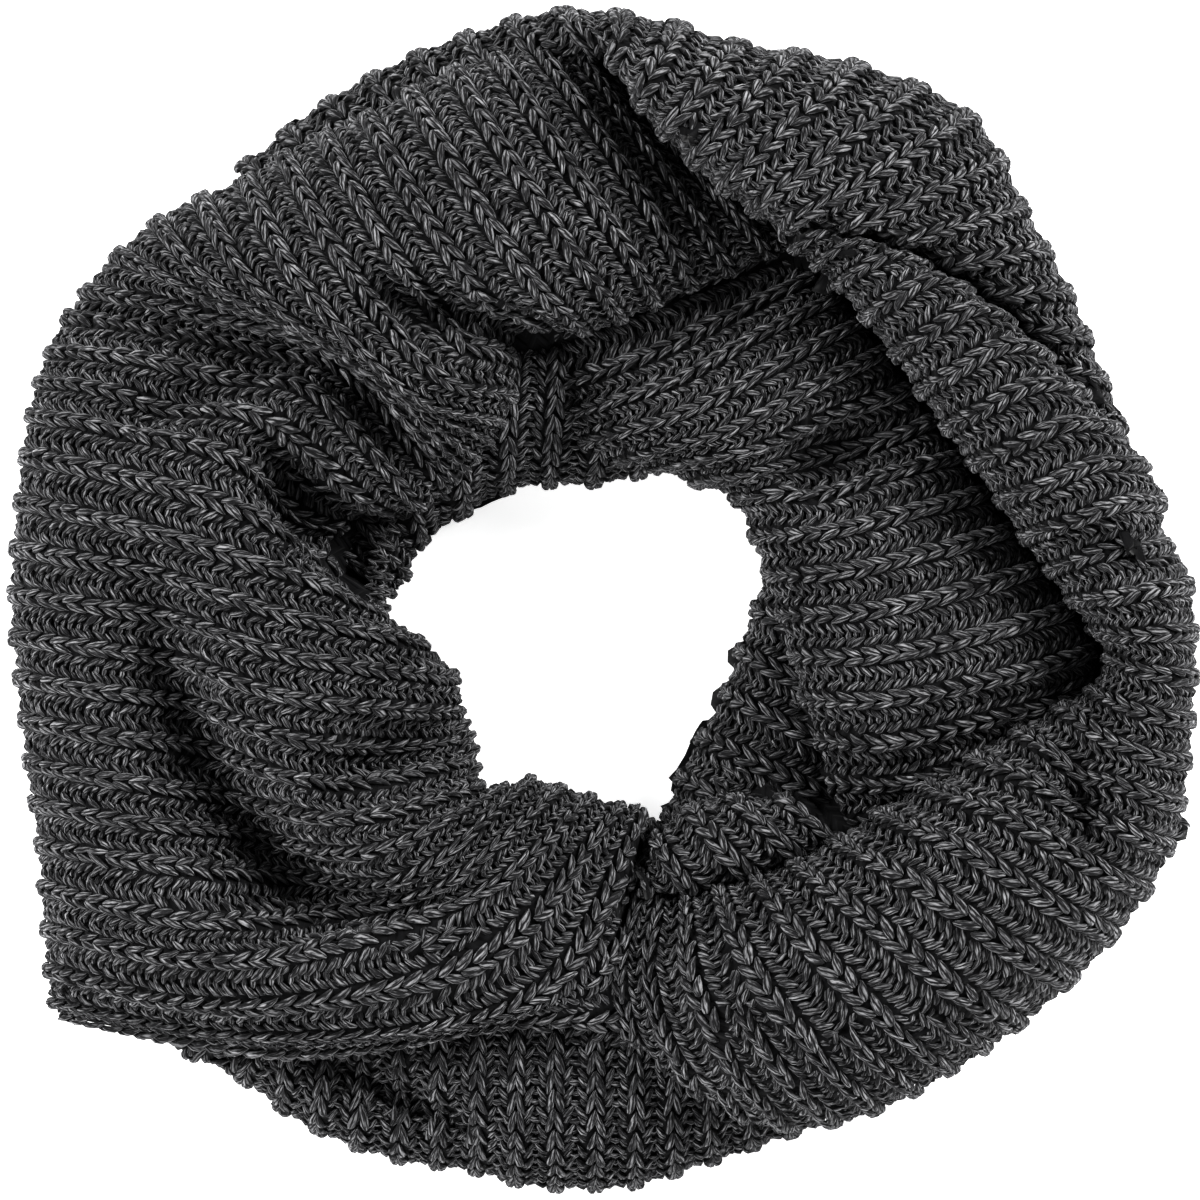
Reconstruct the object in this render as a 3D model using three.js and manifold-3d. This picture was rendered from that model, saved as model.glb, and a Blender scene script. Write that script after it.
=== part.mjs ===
// A chunky ribbed infinity scarf: one endless knitted loop, wound twice and laid down as a ring.
// Millimetres. The ring lies on z = 0 with its middle near the origin, +y is away from the viewer.

import * as THREE from 'three';
import Module from 'manifold-3d';

const wasm = await Module();
wasm.setup();

// Driving sizes
const CLOTH = 6;
const RIB_HEIGHT = 2.2;
const RIB_PITCH = 14;
const GAP = 0.6;
const SLIVER = 0.04;
const COLUMNS_PER_RIB = 2;
const WALL_SHARE = 0.3;
const RIB_SHARE = 0.08;
const LOWEST_RISE = 1;
const TURN_STEP = 0.02;
const RIB_STEP = 0.05;
const FOLD_STEPS = 8;
const RING_CENTRE = [-3, -8];
const CHARCOAL = 0x4a4a4d;

// Each stretch is a table with a row for each section, and a section runs along one knitted rib.
// rib counts along the band; outer, near, far and inner are the rib's points in plan, from the
// ring's outside to its hole; crown is its greatest height, peak the place of the crown along the
// rib (0 outer, 1 inner); outerFoot and innerFoot are the heights where the cloth ends or turns in.
const LEFT_TURN = [
  { rib: -1, outer: [-180, -139], near: [-100, -152], far: [-27, -141], inner: [10, -141],
    crown: 48, peak: 0.5, outerFoot: 32, innerFoot: 42 },
  { rib: -0.5, outer: [-182, -137], near: [-103, -149], far: [-20, -137], inner: [9, -113],
    crown: 57, peak: 0.5, outerFoot: 29, innerFoot: 42 },
  { rib: 0, outer: [-184, -135], near: [-107, -146], far: [-23, -133], inner: [15, -73],
    crown: 57, peak: 0.5, outerFoot: 26, innerFoot: 30 },
  { rib: 1, outer: [-185, -124], near: [-120, -135], far: [-40, -120], inner: [7, -69],
    crown: 68, peak: 0.5, outerFoot: 26, innerFoot: 24 },
  { rib: 2, outer: [-186, -110], near: [-126, -119], far: [-53, -107], inner: [-3, -66],
    crown: 79, peak: 0.5, outerFoot: 26, innerFoot: 24 },
  { rib: 3, outer: [-187, -96], near: [-131, -106], far: [-60, -97], inner: [-13, -63],
    crown: 80, peak: 0.5, outerFoot: 26, innerFoot: 24 },
  { rib: 4, outer: [-188, -82], near: [-126, -89], far: [-67, -92], inner: [-23, -60],
    crown: 80, peak: 0.5, outerFoot: 26, innerFoot: 24 },
  { rib: 5, outer: [-190, -68], near: [-130, -77], far: [-77, -83], inner: [-32, -62],
    crown: 80, peak: 0.5, outerFoot: 26, innerFoot: 24 },
  { rib: 6, outer: [-192, -54], near: [-133, -65], far: [-85, -72], inner: [-38, -61],
    crown: 80, peak: 0.5, outerFoot: 26, innerFoot: 24 },
  { rib: 8, outer: [-195, -26], near: [-140, -35], far: [-93, -47], inner: [-40, -45],
    crown: 80, peak: 0.5, outerFoot: 26, innerFoot: 24 },
  { rib: 10, outer: [-197, 2], near: [-140, -7], far: [-100, -19], inner: [-48, -26],
    crown: 80, peak: 0.5, outerFoot: 26, innerFoot: 24 },
  { rib: 12, outer: [-195, 33], near: [-150, 23], far: [-110, 11], inner: [-69, -2],
    crown: 78, peak: 0.5, outerFoot: 26, innerFoot: 26 },
  { rib: 14, outer: [-191, 62], near: [-153, 56], far: [-112, 44], inner: [-68, 16],
    crown: 74, peak: 0.5, outerFoot: 26, innerFoot: 34 },
  { rib: 16, outer: [-185, 83], near: [-148, 80], far: [-98, 71], inner: [-58, 29],
    crown: 64, peak: 0.5, outerFoot: 26, innerFoot: 36 },
  { rib: 17, outer: [-179, 95], near: [-146, 90], far: [-90, 79], inner: [-51, 38],
    crown: 52, peak: 0.5, outerFoot: 26, innerFoot: 38 },
];

const TOP_TURN = [
  { rib: 17.4, outer: [-178, 96], near: [-145, 91], far: [-89, 80], inner: [-51, 38],
    crown: 52, peak: 0.5, outerFoot: 26, innerFoot: 38 },
  { rib: 18.5, outer: [-168, 110], near: [-135, 100], far: [-83, 81], inner: [-46, 42],
    crown: 64, peak: 0.5, outerFoot: 26, innerFoot: 38 },
  { rib: 20, outer: [-149, 127], near: [-125, 102], far: [-77, 77], inner: [-41, 47],
    crown: 74, peak: 0.5, outerFoot: 27, innerFoot: 38 },
  { rib: 21, outer: [-134, 135], near: [-113, 102], far: [-72, 72], inner: [-37, 53],
    crown: 78, peak: 0.5, outerFoot: 28, innerFoot: 38 },
  { rib: 22, outer: [-118, 141], near: [-99, 105], far: [-63, 68], inner: [-33, 59],
    crown: 80, peak: 0.5, outerFoot: 30, innerFoot: 38 },
  { rib: 23, outer: [-106, 149], near: [-85, 112], far: [-55, 75], inner: [-28, 67],
    crown: 80, peak: 0.5, outerFoot: 32, innerFoot: 38 },
  { rib: 25, outer: [-78, 162], near: [-58, 127], far: [-34, 94], inner: [-15, 84],
    crown: 81, peak: 0.5, outerFoot: 34, innerFoot: 40 },
  { rib: 27, outer: [-49, 177], near: [-31, 147], far: [-8, 113], inner: [7, 93],
    crown: 78, peak: 0.54, outerFoot: 36, innerFoot: 42 },
  { rib: 29, outer: [-21, 185], near: [-3, 159], far: [17, 129], inner: [31, 104],
    crown: 63, peak: 0.6, outerFoot: 32, innerFoot: 42 },
  { rib: 30, outer: [-9, 184], near: [9, 160], far: [29, 133], inner: [43, 109],
    crown: 55, peak: 0.6, outerFoot: 32, innerFoot: 40 },
  { rib: 31, outer: [3, 176], near: [22, 154], far: [42, 132], inner: [57, 115],
    crown: 48, peak: 0.6, outerFoot: 32, innerFoot: 38 },
  { rib: 32, outer: [17, 165], near: [36, 146], far: [54, 130], inner: [67, 117],
    crown: 42, peak: 0.5, outerFoot: 32, innerFoot: 34 },
];

const RIGHT_TURN = [
  { rib: 0, outer: [11, -147], near: [7, -133], far: [8, -115], inner: [14, -96],
    crown: 48, peak: 0.5, outerFoot: 44, innerFoot: 40 },
  { rib: 1, outer: [33, -166], near: [22, -147], far: [16, -122], inner: [20, -98],
    crown: 52, peak: 0.5, outerFoot: 32, innerFoot: 38 },
  { rib: 2, outer: [62, -177], near: [43, -153], far: [30, -125], inner: [28, -99],
    crown: 63, peak: 0.5, outerFoot: 26, innerFoot: 38 },
  { rib: 3, outer: [93, -171], near: [73, -152], far: [50, -122], inner: [39, -96],
    crown: 73, peak: 0.5, outerFoot: 26, innerFoot: 38 },
  { rib: 5, outer: [140, -143], near: [117, -128], far: [88, -105], inner: [64, -87],
    crown: 80, peak: 0.55, outerFoot: 26, innerFoot: 38 },
  { rib: 7, outer: [172, -113], near: [152, -102], far: [120, -82], inner: [93, -71],
    crown: 82, peak: 0.6, outerFoot: 26, innerFoot: 38 },
  { rib: 9, outer: [191, -83], near: [175, -77], far: [148, -62], inner: [123, -52],
    crown: 80, peak: 0.5, outerFoot: 26, innerFoot: 36 },
  { rib: 11, outer: [197, -54], near: [183, -52], far: [167, -45], inner: [152, -35],
    crown: 76, peak: 0.42, outerFoot: 26, innerFoot: 36 },
  { rib: 12, outer: [198, -40], near: [186, -39], far: [173, -35], inner: [163, -30],
    crown: 75, peak: 0.4, outerFoot: 26, innerFoot: 36 },
  { rib: 13, outer: [199, -26], near: [188, -25], far: [178, -23], inner: [169, -19],
    crown: 76, peak: 0.4, outerFoot: 26, innerFoot: 36 },
  { rib: 14, outer: [199, -11], near: [187, -11], far: [175, -12], inner: [164, -10],
    crown: 78, peak: 0.4, outerFoot: 26, innerFoot: 36 },
  { rib: 16, outer: [195, 20], near: [179, 18], far: [162, 13], inner: [149, 9],
    crown: 80, peak: 0.4, outerFoot: 26, innerFoot: 36 },
  { rib: 18, outer: [182, 45], near: [163, 45], far: [145, 37], inner: [133, 33],
    crown: 80, peak: 0.42, outerFoot: 36, innerFoot: 38 },
  { rib: 20, outer: [161, 69], near: [143, 71], far: [127, 63], inner: [115, 57],
    crown: 80, peak: 0.45, outerFoot: 50, innerFoot: 40 },
  { rib: 22, outer: [136, 93], near: [122, 96], far: [107, 87], inner: [98, 81],
    crown: 80, peak: 0.5, outerFoot: 56, innerFoot: 44 },
  { rib: 24, outer: [108, 111], near: [97, 114], far: [86, 109], inner: [79, 104],
    crown: 79, peak: 0.5, outerFoot: 62, innerFoot: 50 },
  { rib: 26, outer: [80, 120], near: [75, 121], far: [69, 119], inner: [64, 116],
    crown: 76, peak: 0.5, outerFoot: 68, innerFoot: 62 },
];

const TOP_FLAP = [
  { rib: 0, outer: [-120, 147], near: [-113, 143], far: [-105, 137], inner: [-98, 132],
    crown: 26, peak: 0.6, outerFoot: 3, innerFoot: 22 },
  { rib: 2, outer: [-92, 168], near: [-85, 161], far: [-78, 153], inner: [-72, 146],
    crown: 27, peak: 0.6, outerFoot: 3, innerFoot: 22 },
  { rib: 4, outer: [-62, 184], near: [-55, 176], far: [-48, 167], inner: [-42, 159],
    crown: 31, peak: 0.6, outerFoot: 3, innerFoot: 22 },
  { rib: 6, outer: [-30, 195], near: [-25, 187], far: [-20, 178], inner: [-15, 170],
    crown: 42, peak: 0.6, outerFoot: 3, innerFoot: 28 },
  { rib: 7, outer: [-13, 198], near: [-9, 192], far: [-5, 187], inner: [-1, 182],
    crown: 55, peak: 0.7, outerFoot: 3, innerFoot: 36 },
  { rib: 8, outer: [7, 197], near: [7, 190], far: [6, 184], inner: [4, 178],
    crown: 67, peak: 0.8, outerFoot: 3, innerFoot: 42 },
  { rib: 9, outer: [27, 193], near: [23, 184], far: [18, 174], inner: [13, 164],
    crown: 78, peak: 0.85, outerFoot: 3, innerFoot: 46 },
  { rib: 10, outer: [47, 187], near: [39, 176], far: [31, 165], inner: [21, 155],
    crown: 82, peak: 0.88, outerFoot: 3, innerFoot: 48 },
  { rib: 12, outer: [87, 180], near: [73, 166], far: [57, 151], inner: [41, 136],
    crown: 85, peak: 0.9, outerFoot: 3, innerFoot: 48 },
  { rib: 14, outer: [125, 163], near: [106, 150], far: [84, 136], inner: [62, 124],
    crown: 83, peak: 0.9, outerFoot: 3, innerFoot: 50 },
  { rib: 16, outer: [143, 132], near: [128, 127], far: [112, 122], inner: [98, 118],
    crown: 74, peak: 0.8, outerFoot: 3, innerFoot: 50 },
  { rib: 18, outer: [158, 103], near: [148, 102], far: [138, 101], inner: [128, 101],
    crown: 62, peak: 0.75, outerFoot: 3, innerFoot: 46 },
  { rib: 20, outer: [170, 73], near: [165, 74], far: [159, 75], inner: [154, 76],
    crown: 52, peak: 0.7, outerFoot: 3, innerFoot: 40 },
  { rib: 22, outer: [181, 44], near: [178, 46], far: [175, 48], inner: [172, 50],
    crown: 40, peak: 0.7, outerFoot: 3, innerFoot: 32 },
];

const INNER_RIGHT = [
  { rib: 0, outer: [64, 118], near: [36, 108], far: [6, 97], inner: [-19, 88],
    crown: 37, peak: 0.6, outerFoot: 32, innerFoot: 22 },
  { rib: 1, outer: [72, 108], near: [45, 96], far: [15, 81], inner: [-17, 71],
    crown: 46, peak: 0.6, outerFoot: 34, innerFoot: 18 },
  { rib: 2, outer: [79, 101], near: [52, 88], far: [22, 72], inner: [-14, 61],
    crown: 54, peak: 0.6, outerFoot: 34, innerFoot: 18 },
  { rib: 3, outer: [87, 93], near: [62, 80], far: [30, 63], inner: [-7, 52],
    crown: 58, peak: 0.62, outerFoot: 32, innerFoot: 18 },
  { rib: 4, outer: [95, 83], near: [71, 71], far: [40, 55], inner: [5, 46],
    crown: 60, peak: 0.64, outerFoot: 30, innerFoot: 18 },
  { rib: 5, outer: [104, 71], near: [80, 62], far: [52, 50], inner: [18, 44],
    crown: 60, peak: 0.66, outerFoot: 28, innerFoot: 18 },
  { rib: 6, outer: [112, 60], near: [88, 52], far: [60, 43], inner: [32, 39],
    crown: 58, peak: 0.68, outerFoot: 28, innerFoot: 18 },
  { rib: 7, outer: [121, 48], near: [97, 43], far: [70, 35], inner: [45, 34],
    crown: 58, peak: 0.68, outerFoot: 28, innerFoot: 18 },
  { rib: 8, outer: [129, 36], near: [105, 30], far: [77, 23], inner: [51, 21],
    crown: 59, peak: 0.68, outerFoot: 28, innerFoot: 24 },
  { rib: 10, outer: [147, 11], near: [120, 3], far: [87, -4], inner: [60, -5],
    crown: 60, peak: 0.68, outerFoot: 28, innerFoot: 29 },
  { rib: 12, outer: [166, -17], near: [133, -26], far: [97, -33], inner: [68, -33],
    crown: 60, peak: 0.7, outerFoot: 26, innerFoot: 31 },
  { rib: 13, outer: [165, -31], near: [135, -39], far: [101, -47], inner: [73, -47],
    crown: 52, peak: 0.7, outerFoot: 26, innerFoot: 29 },
  { rib: 14, outer: [157, -43], near: [133, -52], far: [103, -61], inner: [77, -62],
    crown: 42, peak: 0.66, outerFoot: 28, innerFoot: 27 },
  { rib: 15, outer: [146, -55], near: [125, -64], far: [103, -73], inner: [82, -75],
    crown: 34, peak: 0.6, outerFoot: 26, innerFoot: 25 },
];

const INNER_ROLL = [
  { rib: 0, outer: [15, -97], near: [15, -95], far: [15, -93], inner: [15, -91],
    crown: 48, peak: 0.5, outerFoot: 44, innerFoot: 44 },
  { rib: 1, outer: [30, -98], near: [26, -92], far: [22, -86], inner: [18, -79],
    crown: 50, peak: 0.5, outerFoot: 40, innerFoot: 34 },
  { rib: 2, outer: [50, -92], near: [43, -85], far: [36, -77], inner: [30, -69],
    crown: 52, peak: 0.5, outerFoot: 40, innerFoot: 34 },
  { rib: 3, outer: [67, -86], near: [60, -80], far: [52, -73], inner: [45, -66],
    crown: 50, peak: 0.5, outerFoot: 38, innerFoot: 34 },
  { rib: 4, outer: [80, -82], near: [74, -77], far: [67, -71], inner: [61, -66],
    crown: 46, peak: 0.5, outerFoot: 36, innerFoot: 32 },
];

const HOLE_RIGHT = [
  { rib: 0, outer: [84, 4], near: [74, 6], far: [64, 8], inner: [56, 11],
    crown: 30, peak: 0.66, outerFoot: 14, innerFoot: 3 },
  { rib: 1, outer: [84, -18], near: [72, -13], far: [62, -8], inner: [52, -3],
    crown: 30, peak: 0.66, outerFoot: 13, innerFoot: 3 },
  { rib: 2, outer: [84, -36], near: [70, -29], far: [58, -23], inner: [47, -17],
    crown: 31, peak: 0.66, outerFoot: 12, innerFoot: 3 },
  { rib: 3, outer: [84, -52], near: [69, -45], far: [55, -38], inner: [42, -31],
    crown: 31, peak: 0.66, outerFoot: 12, innerFoot: 3 },
  { rib: 4, outer: [80, -68], near: [64, -60], far: [49, -53], inner: [34, -46],
    crown: 30, peak: 0.66, outerFoot: 12, innerFoot: 3 },
  { rib: 5, outer: [66, -80], near: [53, -73], far: [40, -66], inner: [27, -60],
    crown: 29, peak: 0.66, outerFoot: 14, innerFoot: 3 },
  { rib: 6, outer: [48, -90], near: [39, -84], far: [31, -78], inner: [22, -72],
    crown: 30, peak: 0.6, outerFoot: 20, innerFoot: 3 },
];

const HOLE_TOP = [
  { rib: 0, outer: [-88, 16], near: [-82, 12], far: [-76, 7], inner: [-70, 2],
    crown: 26, peak: 0.4, outerFoot: 20, innerFoot: 3 },
  { rib: 1, outer: [-82, 30], near: [-77, 23], far: [-71, 15], inner: [-65, 8],
    crown: 28, peak: 0.4, outerFoot: 22, innerFoot: 3 },
  { rib: 2, outer: [-67, 54], near: [-64, 40], far: [-62, 29], inner: [-60, 19],
    crown: 32, peak: 0.4, outerFoot: 26, innerFoot: 3 },
  { rib: 3, outer: [-46, 72], near: [-46, 58], far: [-46, 40], inner: [-46, 29],
    crown: 36, peak: 0.4, outerFoot: 28, innerFoot: 3 },
  { rib: 4, outer: [-29, 83], near: [-30, 67], far: [-31, 48], inner: [-31, 37],
    crown: 37, peak: 0.4, outerFoot: 28, innerFoot: 3 },
  { rib: 5, outer: [-14, 84], near: [-15, 68], far: [-16, 50], inner: [-17, 39],
    crown: 35, peak: 0.4, outerFoot: 26, innerFoot: 3 },
  { rib: 6, outer: [2, 76], near: [1, 63], far: [0, 49], inner: [-2, 39],
    crown: 32, peak: 0.4, outerFoot: 24, innerFoot: 3 },
  { rib: 7, outer: [17, 64], near: [16, 56], far: [15, 49], inner: [13, 42],
    crown: 28, peak: 0.4, outerFoot: 20, innerFoot: 3 },
];

const LOWER_FRONT = [
  { rib: 0, outer: [-137, -148], near: [-134, -143], far: [-130, -138], inner: [-126, -132],
    crown: 26, peak: 0.7, outerFoot: 3, innerFoot: 22 },
  { rib: 1, outer: [-120, -162], near: [-118, -153], far: [-117, -144], inner: [-116, -135],
    crown: 30, peak: 0.7, outerFoot: 3, innerFoot: 26 },
  { rib: 3, outer: [-95, -179], near: [-94, -166], far: [-93, -152], inner: [-93, -137],
    crown: 35, peak: 0.7, outerFoot: 3, innerFoot: 28 },
  { rib: 5, outer: [-68, -189], near: [-68, -173], far: [-67, -155], inner: [-67, -134],
    crown: 37, peak: 0.7, outerFoot: 3, innerFoot: 28 },
  { rib: 7, outer: [-42, -194], near: [-41, -177], far: [-41, -157], inner: [-40, -129],
    crown: 38, peak: 0.7, outerFoot: 3, innerFoot: 30 },
  { rib: 9, outer: [-15, -198], near: [-15, -178], far: [-15, -157], inner: [-14, -124],
    crown: 39, peak: 0.7, outerFoot: 3, innerFoot: 30 },
  { rib: 11, outer: [12, -197], near: [12, -178], far: [12, -158], inner: [11, -124],
    crown: 38, peak: 0.7, outerFoot: 3, innerFoot: 30 },
  { rib: 13, outer: [38, -189], near: [37, -173], far: [36, -157], inner: [32, -132],
    crown: 34, peak: 0.7, outerFoot: 3, innerFoot: 28 },
  { rib: 15, outer: [65, -180], near: [62, -167], far: [57, -154], inner: [53, -142],
    crown: 26, peak: 0.7, outerFoot: 3, innerFoot: 22 },
];

// The folds that press a stretch in: a soft trough along start, middle and end, in plan.
// left and right are its widths on the two sides of that line, seen on the way from start to end.
const LEFT_FOLDS = [
  { start: [-154, 24], middle: [-129, -58], end: [-74, -105], depth: 30, left: 15, right: 16 },
  { start: [-126, -72], middle: [-84, -101], end: [-26, -95], depth: 26, left: 13, right: 13 },
  { start: [-112, 60], middle: [-90, 27], end: [-40, -6], depth: 30, left: 14, right: 10 },
  { start: [-96, -64], middle: [-70, -52], end: [-28, -46], depth: 23, left: 12, right: 12 },
  { start: [-174, 60], middle: [-140, 68], end: [-96, 84], depth: 12, left: 8, right: 9 },
];

const TOP_FOLDS = [
  { start: [-82, 100], middle: [-46, 92], end: [0, 72], depth: 22, left: 8, right: 10 },
];

const RIGHT_FOLDS = [
  { start: [157, -42], middle: [159, -64], end: [168, -94], depth: 15, left: 10, right: 9 },
  { start: [150, 22], middle: [174, 16], end: [202, 30], depth: 13, left: 9, right: 9 },
];

const INNER_FOLDS = [
  { start: [53, 34], middle: [76, 48], end: [108, 62], depth: 17, left: 11, right: 11 },
];

const FRONT_FOLDS = [
  { start: [-102, -146], middle: [-70, -168], end: [-30, -190], depth: 14, left: 9, right: 9 },
];

// The hidden layers: the ring's inner and outer radius and height, by angle from +x.
const HIDDEN_RING = [
  { angle: 0, inner: 68, outer: 195, top: 32 },
  { angle: 15, inner: 68, outer: 186, top: 34 },
  { angle: 30, inner: 68, outer: 178, top: 34 },
  { angle: 45, inner: 68, outer: 190, top: 34 },
  { angle: 60, inner: 68, outer: 197, top: 36 },
  { angle: 75, inner: 62, outer: 190, top: 36 },
  { angle: 90, inner: 60, outer: 192, top: 34 },
  { angle: 105, inner: 60, outer: 192, top: 34 },
  { angle: 120, inner: 62, outer: 188, top: 36 },
  { angle: 135, inner: 66, outer: 192, top: 36 },
  { angle: 150, inner: 70, outer: 199, top: 36 },
  { angle: 165, inner: 70, outer: 195, top: 36 },
  { angle: 180, inner: 68, outer: 190, top: 38 },
  { angle: 195, inner: 58, outer: 192, top: 38 },
  { angle: 210, inner: 53, outer: 204, top: 38 },
  { angle: 225, inner: 56, outer: 200, top: 36 },
  { angle: 240, inner: 68, outer: 182, top: 32 },
  { angle: 255, inner: 61, outer: 180, top: 30 },
  { angle: 270, inner: 63, outer: 178, top: 30 },
  { angle: 285, inner: 70, outer: 176, top: 30 },
  { angle: 300, inner: 68, outer: 182, top: 34 },
  { angle: 315, inner: 64, outer: 191, top: 36 },
  { angle: 330, inner: 68, outer: 200, top: 34 },
  { angle: 345, inner: 70, outer: 200, top: 32 },
];
const LAYER_HEIGHT = 14;
const LAYER_BULGE = 4;
const HIDDEN_SHOULDER = 20;
const SECTIONS_PER_ROW = 2;
const FULL_TURN = 360;

// The ring's edge from the floor up, two rounded layers: up in layers, back in bulges.
const LAYERED_EDGE = [
  { up: 0, back: 1 },
  { up: 0.4, back: 0 },
  { up: 0.7, back: 0 },
  { up: 1, back: 1 },
  { up: 1.35, back: 0 },
  { up: 1.7, back: 0.6 },
];

const STRETCHES = [
  { name: 'top_flap', rows: TOP_FLAP, folds: [], across: 9, roundness: 0.8 },
  { name: 'right_turn', rows: RIGHT_TURN, folds: RIGHT_FOLDS, across: 9, roundness: 0.95 },
  { name: 'top_turn', rows: TOP_TURN, folds: TOP_FOLDS, across: 11, roundness: 0.9 },
  { name: 'left_turn', rows: LEFT_TURN, folds: LEFT_FOLDS, across: 13, roundness: 0.8 },
  { name: 'inner_roll', rows: INNER_ROLL, folds: [], across: 7, roundness: 0.9 },
  { name: 'inner_right', rows: INNER_RIGHT, folds: INNER_FOLDS, across: 10, roundness: 0.95 },
  { name: 'hole_right', rows: HOLE_RIGHT, folds: [], across: 6, roundness: 0.8 },
  { name: 'hole_top', rows: HOLE_TOP, folds: [], across: 6, roundness: 0.8 },
  { name: 'lower_front', rows: LOWER_FRONT, folds: FRONT_FOLDS, across: 7, roundness: 0.75 },
];

// A cubic through evenly or unevenly spaced values, going on straight past both ends.
function cubicThrough(knots, values, at) {
  const last = knots.length - 1;
  let i = 0;
  while (i < last - 1 && at > knots[i + 1]) i += 1;
  const step = knots[i + 1] - knots[i];
  const slope = (a, b) => (values[b] - values[a]) / (knots[b] - knots[a]);
  const startSlope = i > 0 ? slope(i - 1, i + 1) : slope(i, i + 1);
  const endSlope = i + 1 < last ? slope(i, i + 2) : slope(i, i + 1);
  if (at <= knots[0]) return values[0] + startSlope * (at - knots[0]);
  if (at >= knots[last]) return values[last] + endSlope * (at - knots[last]);
  const t = (at - knots[i]) / step;
  const bend = (values[i + 1] - values[i]) / step;
  const c = 3 * bend - 2 * startSlope - endSlope;
  const d = startSlope + endSlope - 2 * bend;
  return values[i] + step * t * (startSlope + t * (c + t * d));
}

// One section of a stretch, interpolated between its rows at a rib number.
function sectionAt(rows, rib) {
  const knots = rows.map((row) => row.rib);
  const number = (pick) => cubicThrough(knots, rows.map(pick), rib);
  const place = (key) => [number((row) => row[key][0]), number((row) => row[key][1])];
  const path = ['outer', 'near', 'far', 'inner'].map(place);
  return {
    path,
    width: Math.hypot(path[3][0] - path[0][0], path[3][1] - path[0][1]),
    crown: number((row) => row.crown),
    peak: number((row) => row.peak),
    outerFoot: number((row) => row.outerFoot),
    innerFoot: number((row) => row.innerFoot),
  };
}

// The plain surface of a stretch: along the rib in plan, and over two quarter ovals in height.
// inset moves it inwards, as the wall's own inside is, or outwards where it is below zero.
function plainPoint(section, turn, roundness, inset) {
  const cosine = Math.cos(turn);
  const reach = Math.pow(Math.abs(cosine), roundness);
  const rise = Math.pow(Math.max(Math.sin(turn), 0), roundness);
  const outside = cosine > 0;
  const along = outside
    ? section.peak * (1 - reach)
    : section.peak + (1 - section.peak) * reach;
  const share = inset / section.width;
  const place = share + (1 - 2 * share) * along;
  const height = section.crown - (outside ? section.outerFoot : section.innerFoot);
  const crown = section.crown - inset;
  const foot = section.crown - height - Math.max(0, inset + LOWEST_RISE - height);
  const thirds = [0, 1 / 3, 2 / 3, 1];
  return new THREE.Vector3(
    cubicThrough(thirds, section.path.map((p) => p[0]), place),
    cubicThrough(thirds, section.path.map((p) => p[1]), place),
    foot + (crown - foot) * rise,
  );
}

// How deep the folds press the cloth in at a place in plan: each is a bent line of short steps.
function foldDepth(folds, x, y) {
  let depth = 0;
  for (const fold of folds) {
    const bend = [0, 1].map((k) => 2 * fold.middle[k] - (fold.start[k] + fold.end[k]) / 2);
    const on = (t) => [0, 1].map((k) => (1 - t) * (1 - t) * fold.start[k]
      + 2 * t * (1 - t) * bend[k] + t * t * fold.end[k]);
    let best = { away: Infinity, side: 0, t: 0 };
    for (let i = 0; i < FOLD_STEPS; i += 1) {
      const [from, to] = [on(i / FOLD_STEPS), on((i + 1) / FOLD_STEPS)];
      const [dx, dy] = [to[0] - from[0], to[1] - from[1]];
      const [px, py] = [x - from[0], y - from[1]];
      const t = THREE.MathUtils.clamp((px * dx + py * dy) / (dx * dx + dy * dy), 0, 1);
      const away = Math.hypot(px - t * dx, py - t * dy);
      if (away < best.away) best = { away, side: dx * py - dy * px, t: (i + t) / FOLD_STEPS };
    }
    const width = best.side > 0 ? fold.left : fold.right;
    const fade = Math.sin(Math.PI * best.t);
    depth += fold.depth * fade * Math.exp(-((best.away / width) ** 2));
  }
  return depth;
}

// A stretch as one closed wall: ribs on the outside, plain inside, and a rim all round.
// spare grows it on every side, for cutting the piece below clear of it.
function stretchSolid({ rows, folds, across, roundness }, spare) {
  const first = rows[0].rib;
  const last = rows[rows.length - 1].rib;
  const columns = Math.round((last - first) * COLUMNS_PER_RIB) + 1;
  const endShift = spare / RIB_PITCH;
  const outside = [];
  const inside = [];
  let facing = 0;
  for (let i = 0; i < columns; i += 1) {
    const shift = i === 0 ? -endShift : i === columns - 1 ? endShift : 0;
    const rib = first + ((last - first) * i) / (columns - 1) + shift;
    const section = sectionAt(rows, rib);
    const beside = sectionAt(rows, rib + RIB_STEP);
    const wall = Math.min(CLOTH, WALL_SHARE * section.width);
    const raised = i % COLUMNS_PER_RIB === 0 ? Math.min(RIB_HEIGHT, RIB_SHARE * section.width) : 0;
    for (let j = 0; j <= across; j += 1) {
      const turn = (Math.PI * j) / across;
      const point = plainPoint(section, turn, roundness, -spare);
      const under = plainPoint(section, turn, roundness, wall + spare);
      const step = turn > Math.PI / 2 ? -TURN_STEP : TURN_STEP;
      const ahead = plainPoint(section, turn + step, roundness, -spare).sub(point).divideScalar(step);
      const aside = plainPoint(beside, turn, roundness, -spare).sub(point);
      const normal = new THREE.Vector3().crossVectors(ahead, aside).normalize();
      facing = facing || Math.sign(normal.z * (j > 1 ? 1 : 0));
      const fold = foldDepth(folds, point.x, point.y);
      const lift = (j === 0 || j === across ? raised / 2 : raised) - fold;
      const edgeDrop = j === 0 || j === across ? spare : 0;
      outside.push([point, normal, lift, edgeDrop]);
      inside.push([under, normal, -fold, edgeDrop]);
    }
  }
  const moved = ([point, normal, lift, drop]) => {
    const place = point.clone().addScaledVector(normal, facing * lift);
    place.z -= drop;
    return place;
  };
  return closedWall(outside.map(moved), inside.map(moved), columns, across + 1, facing);
}

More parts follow.
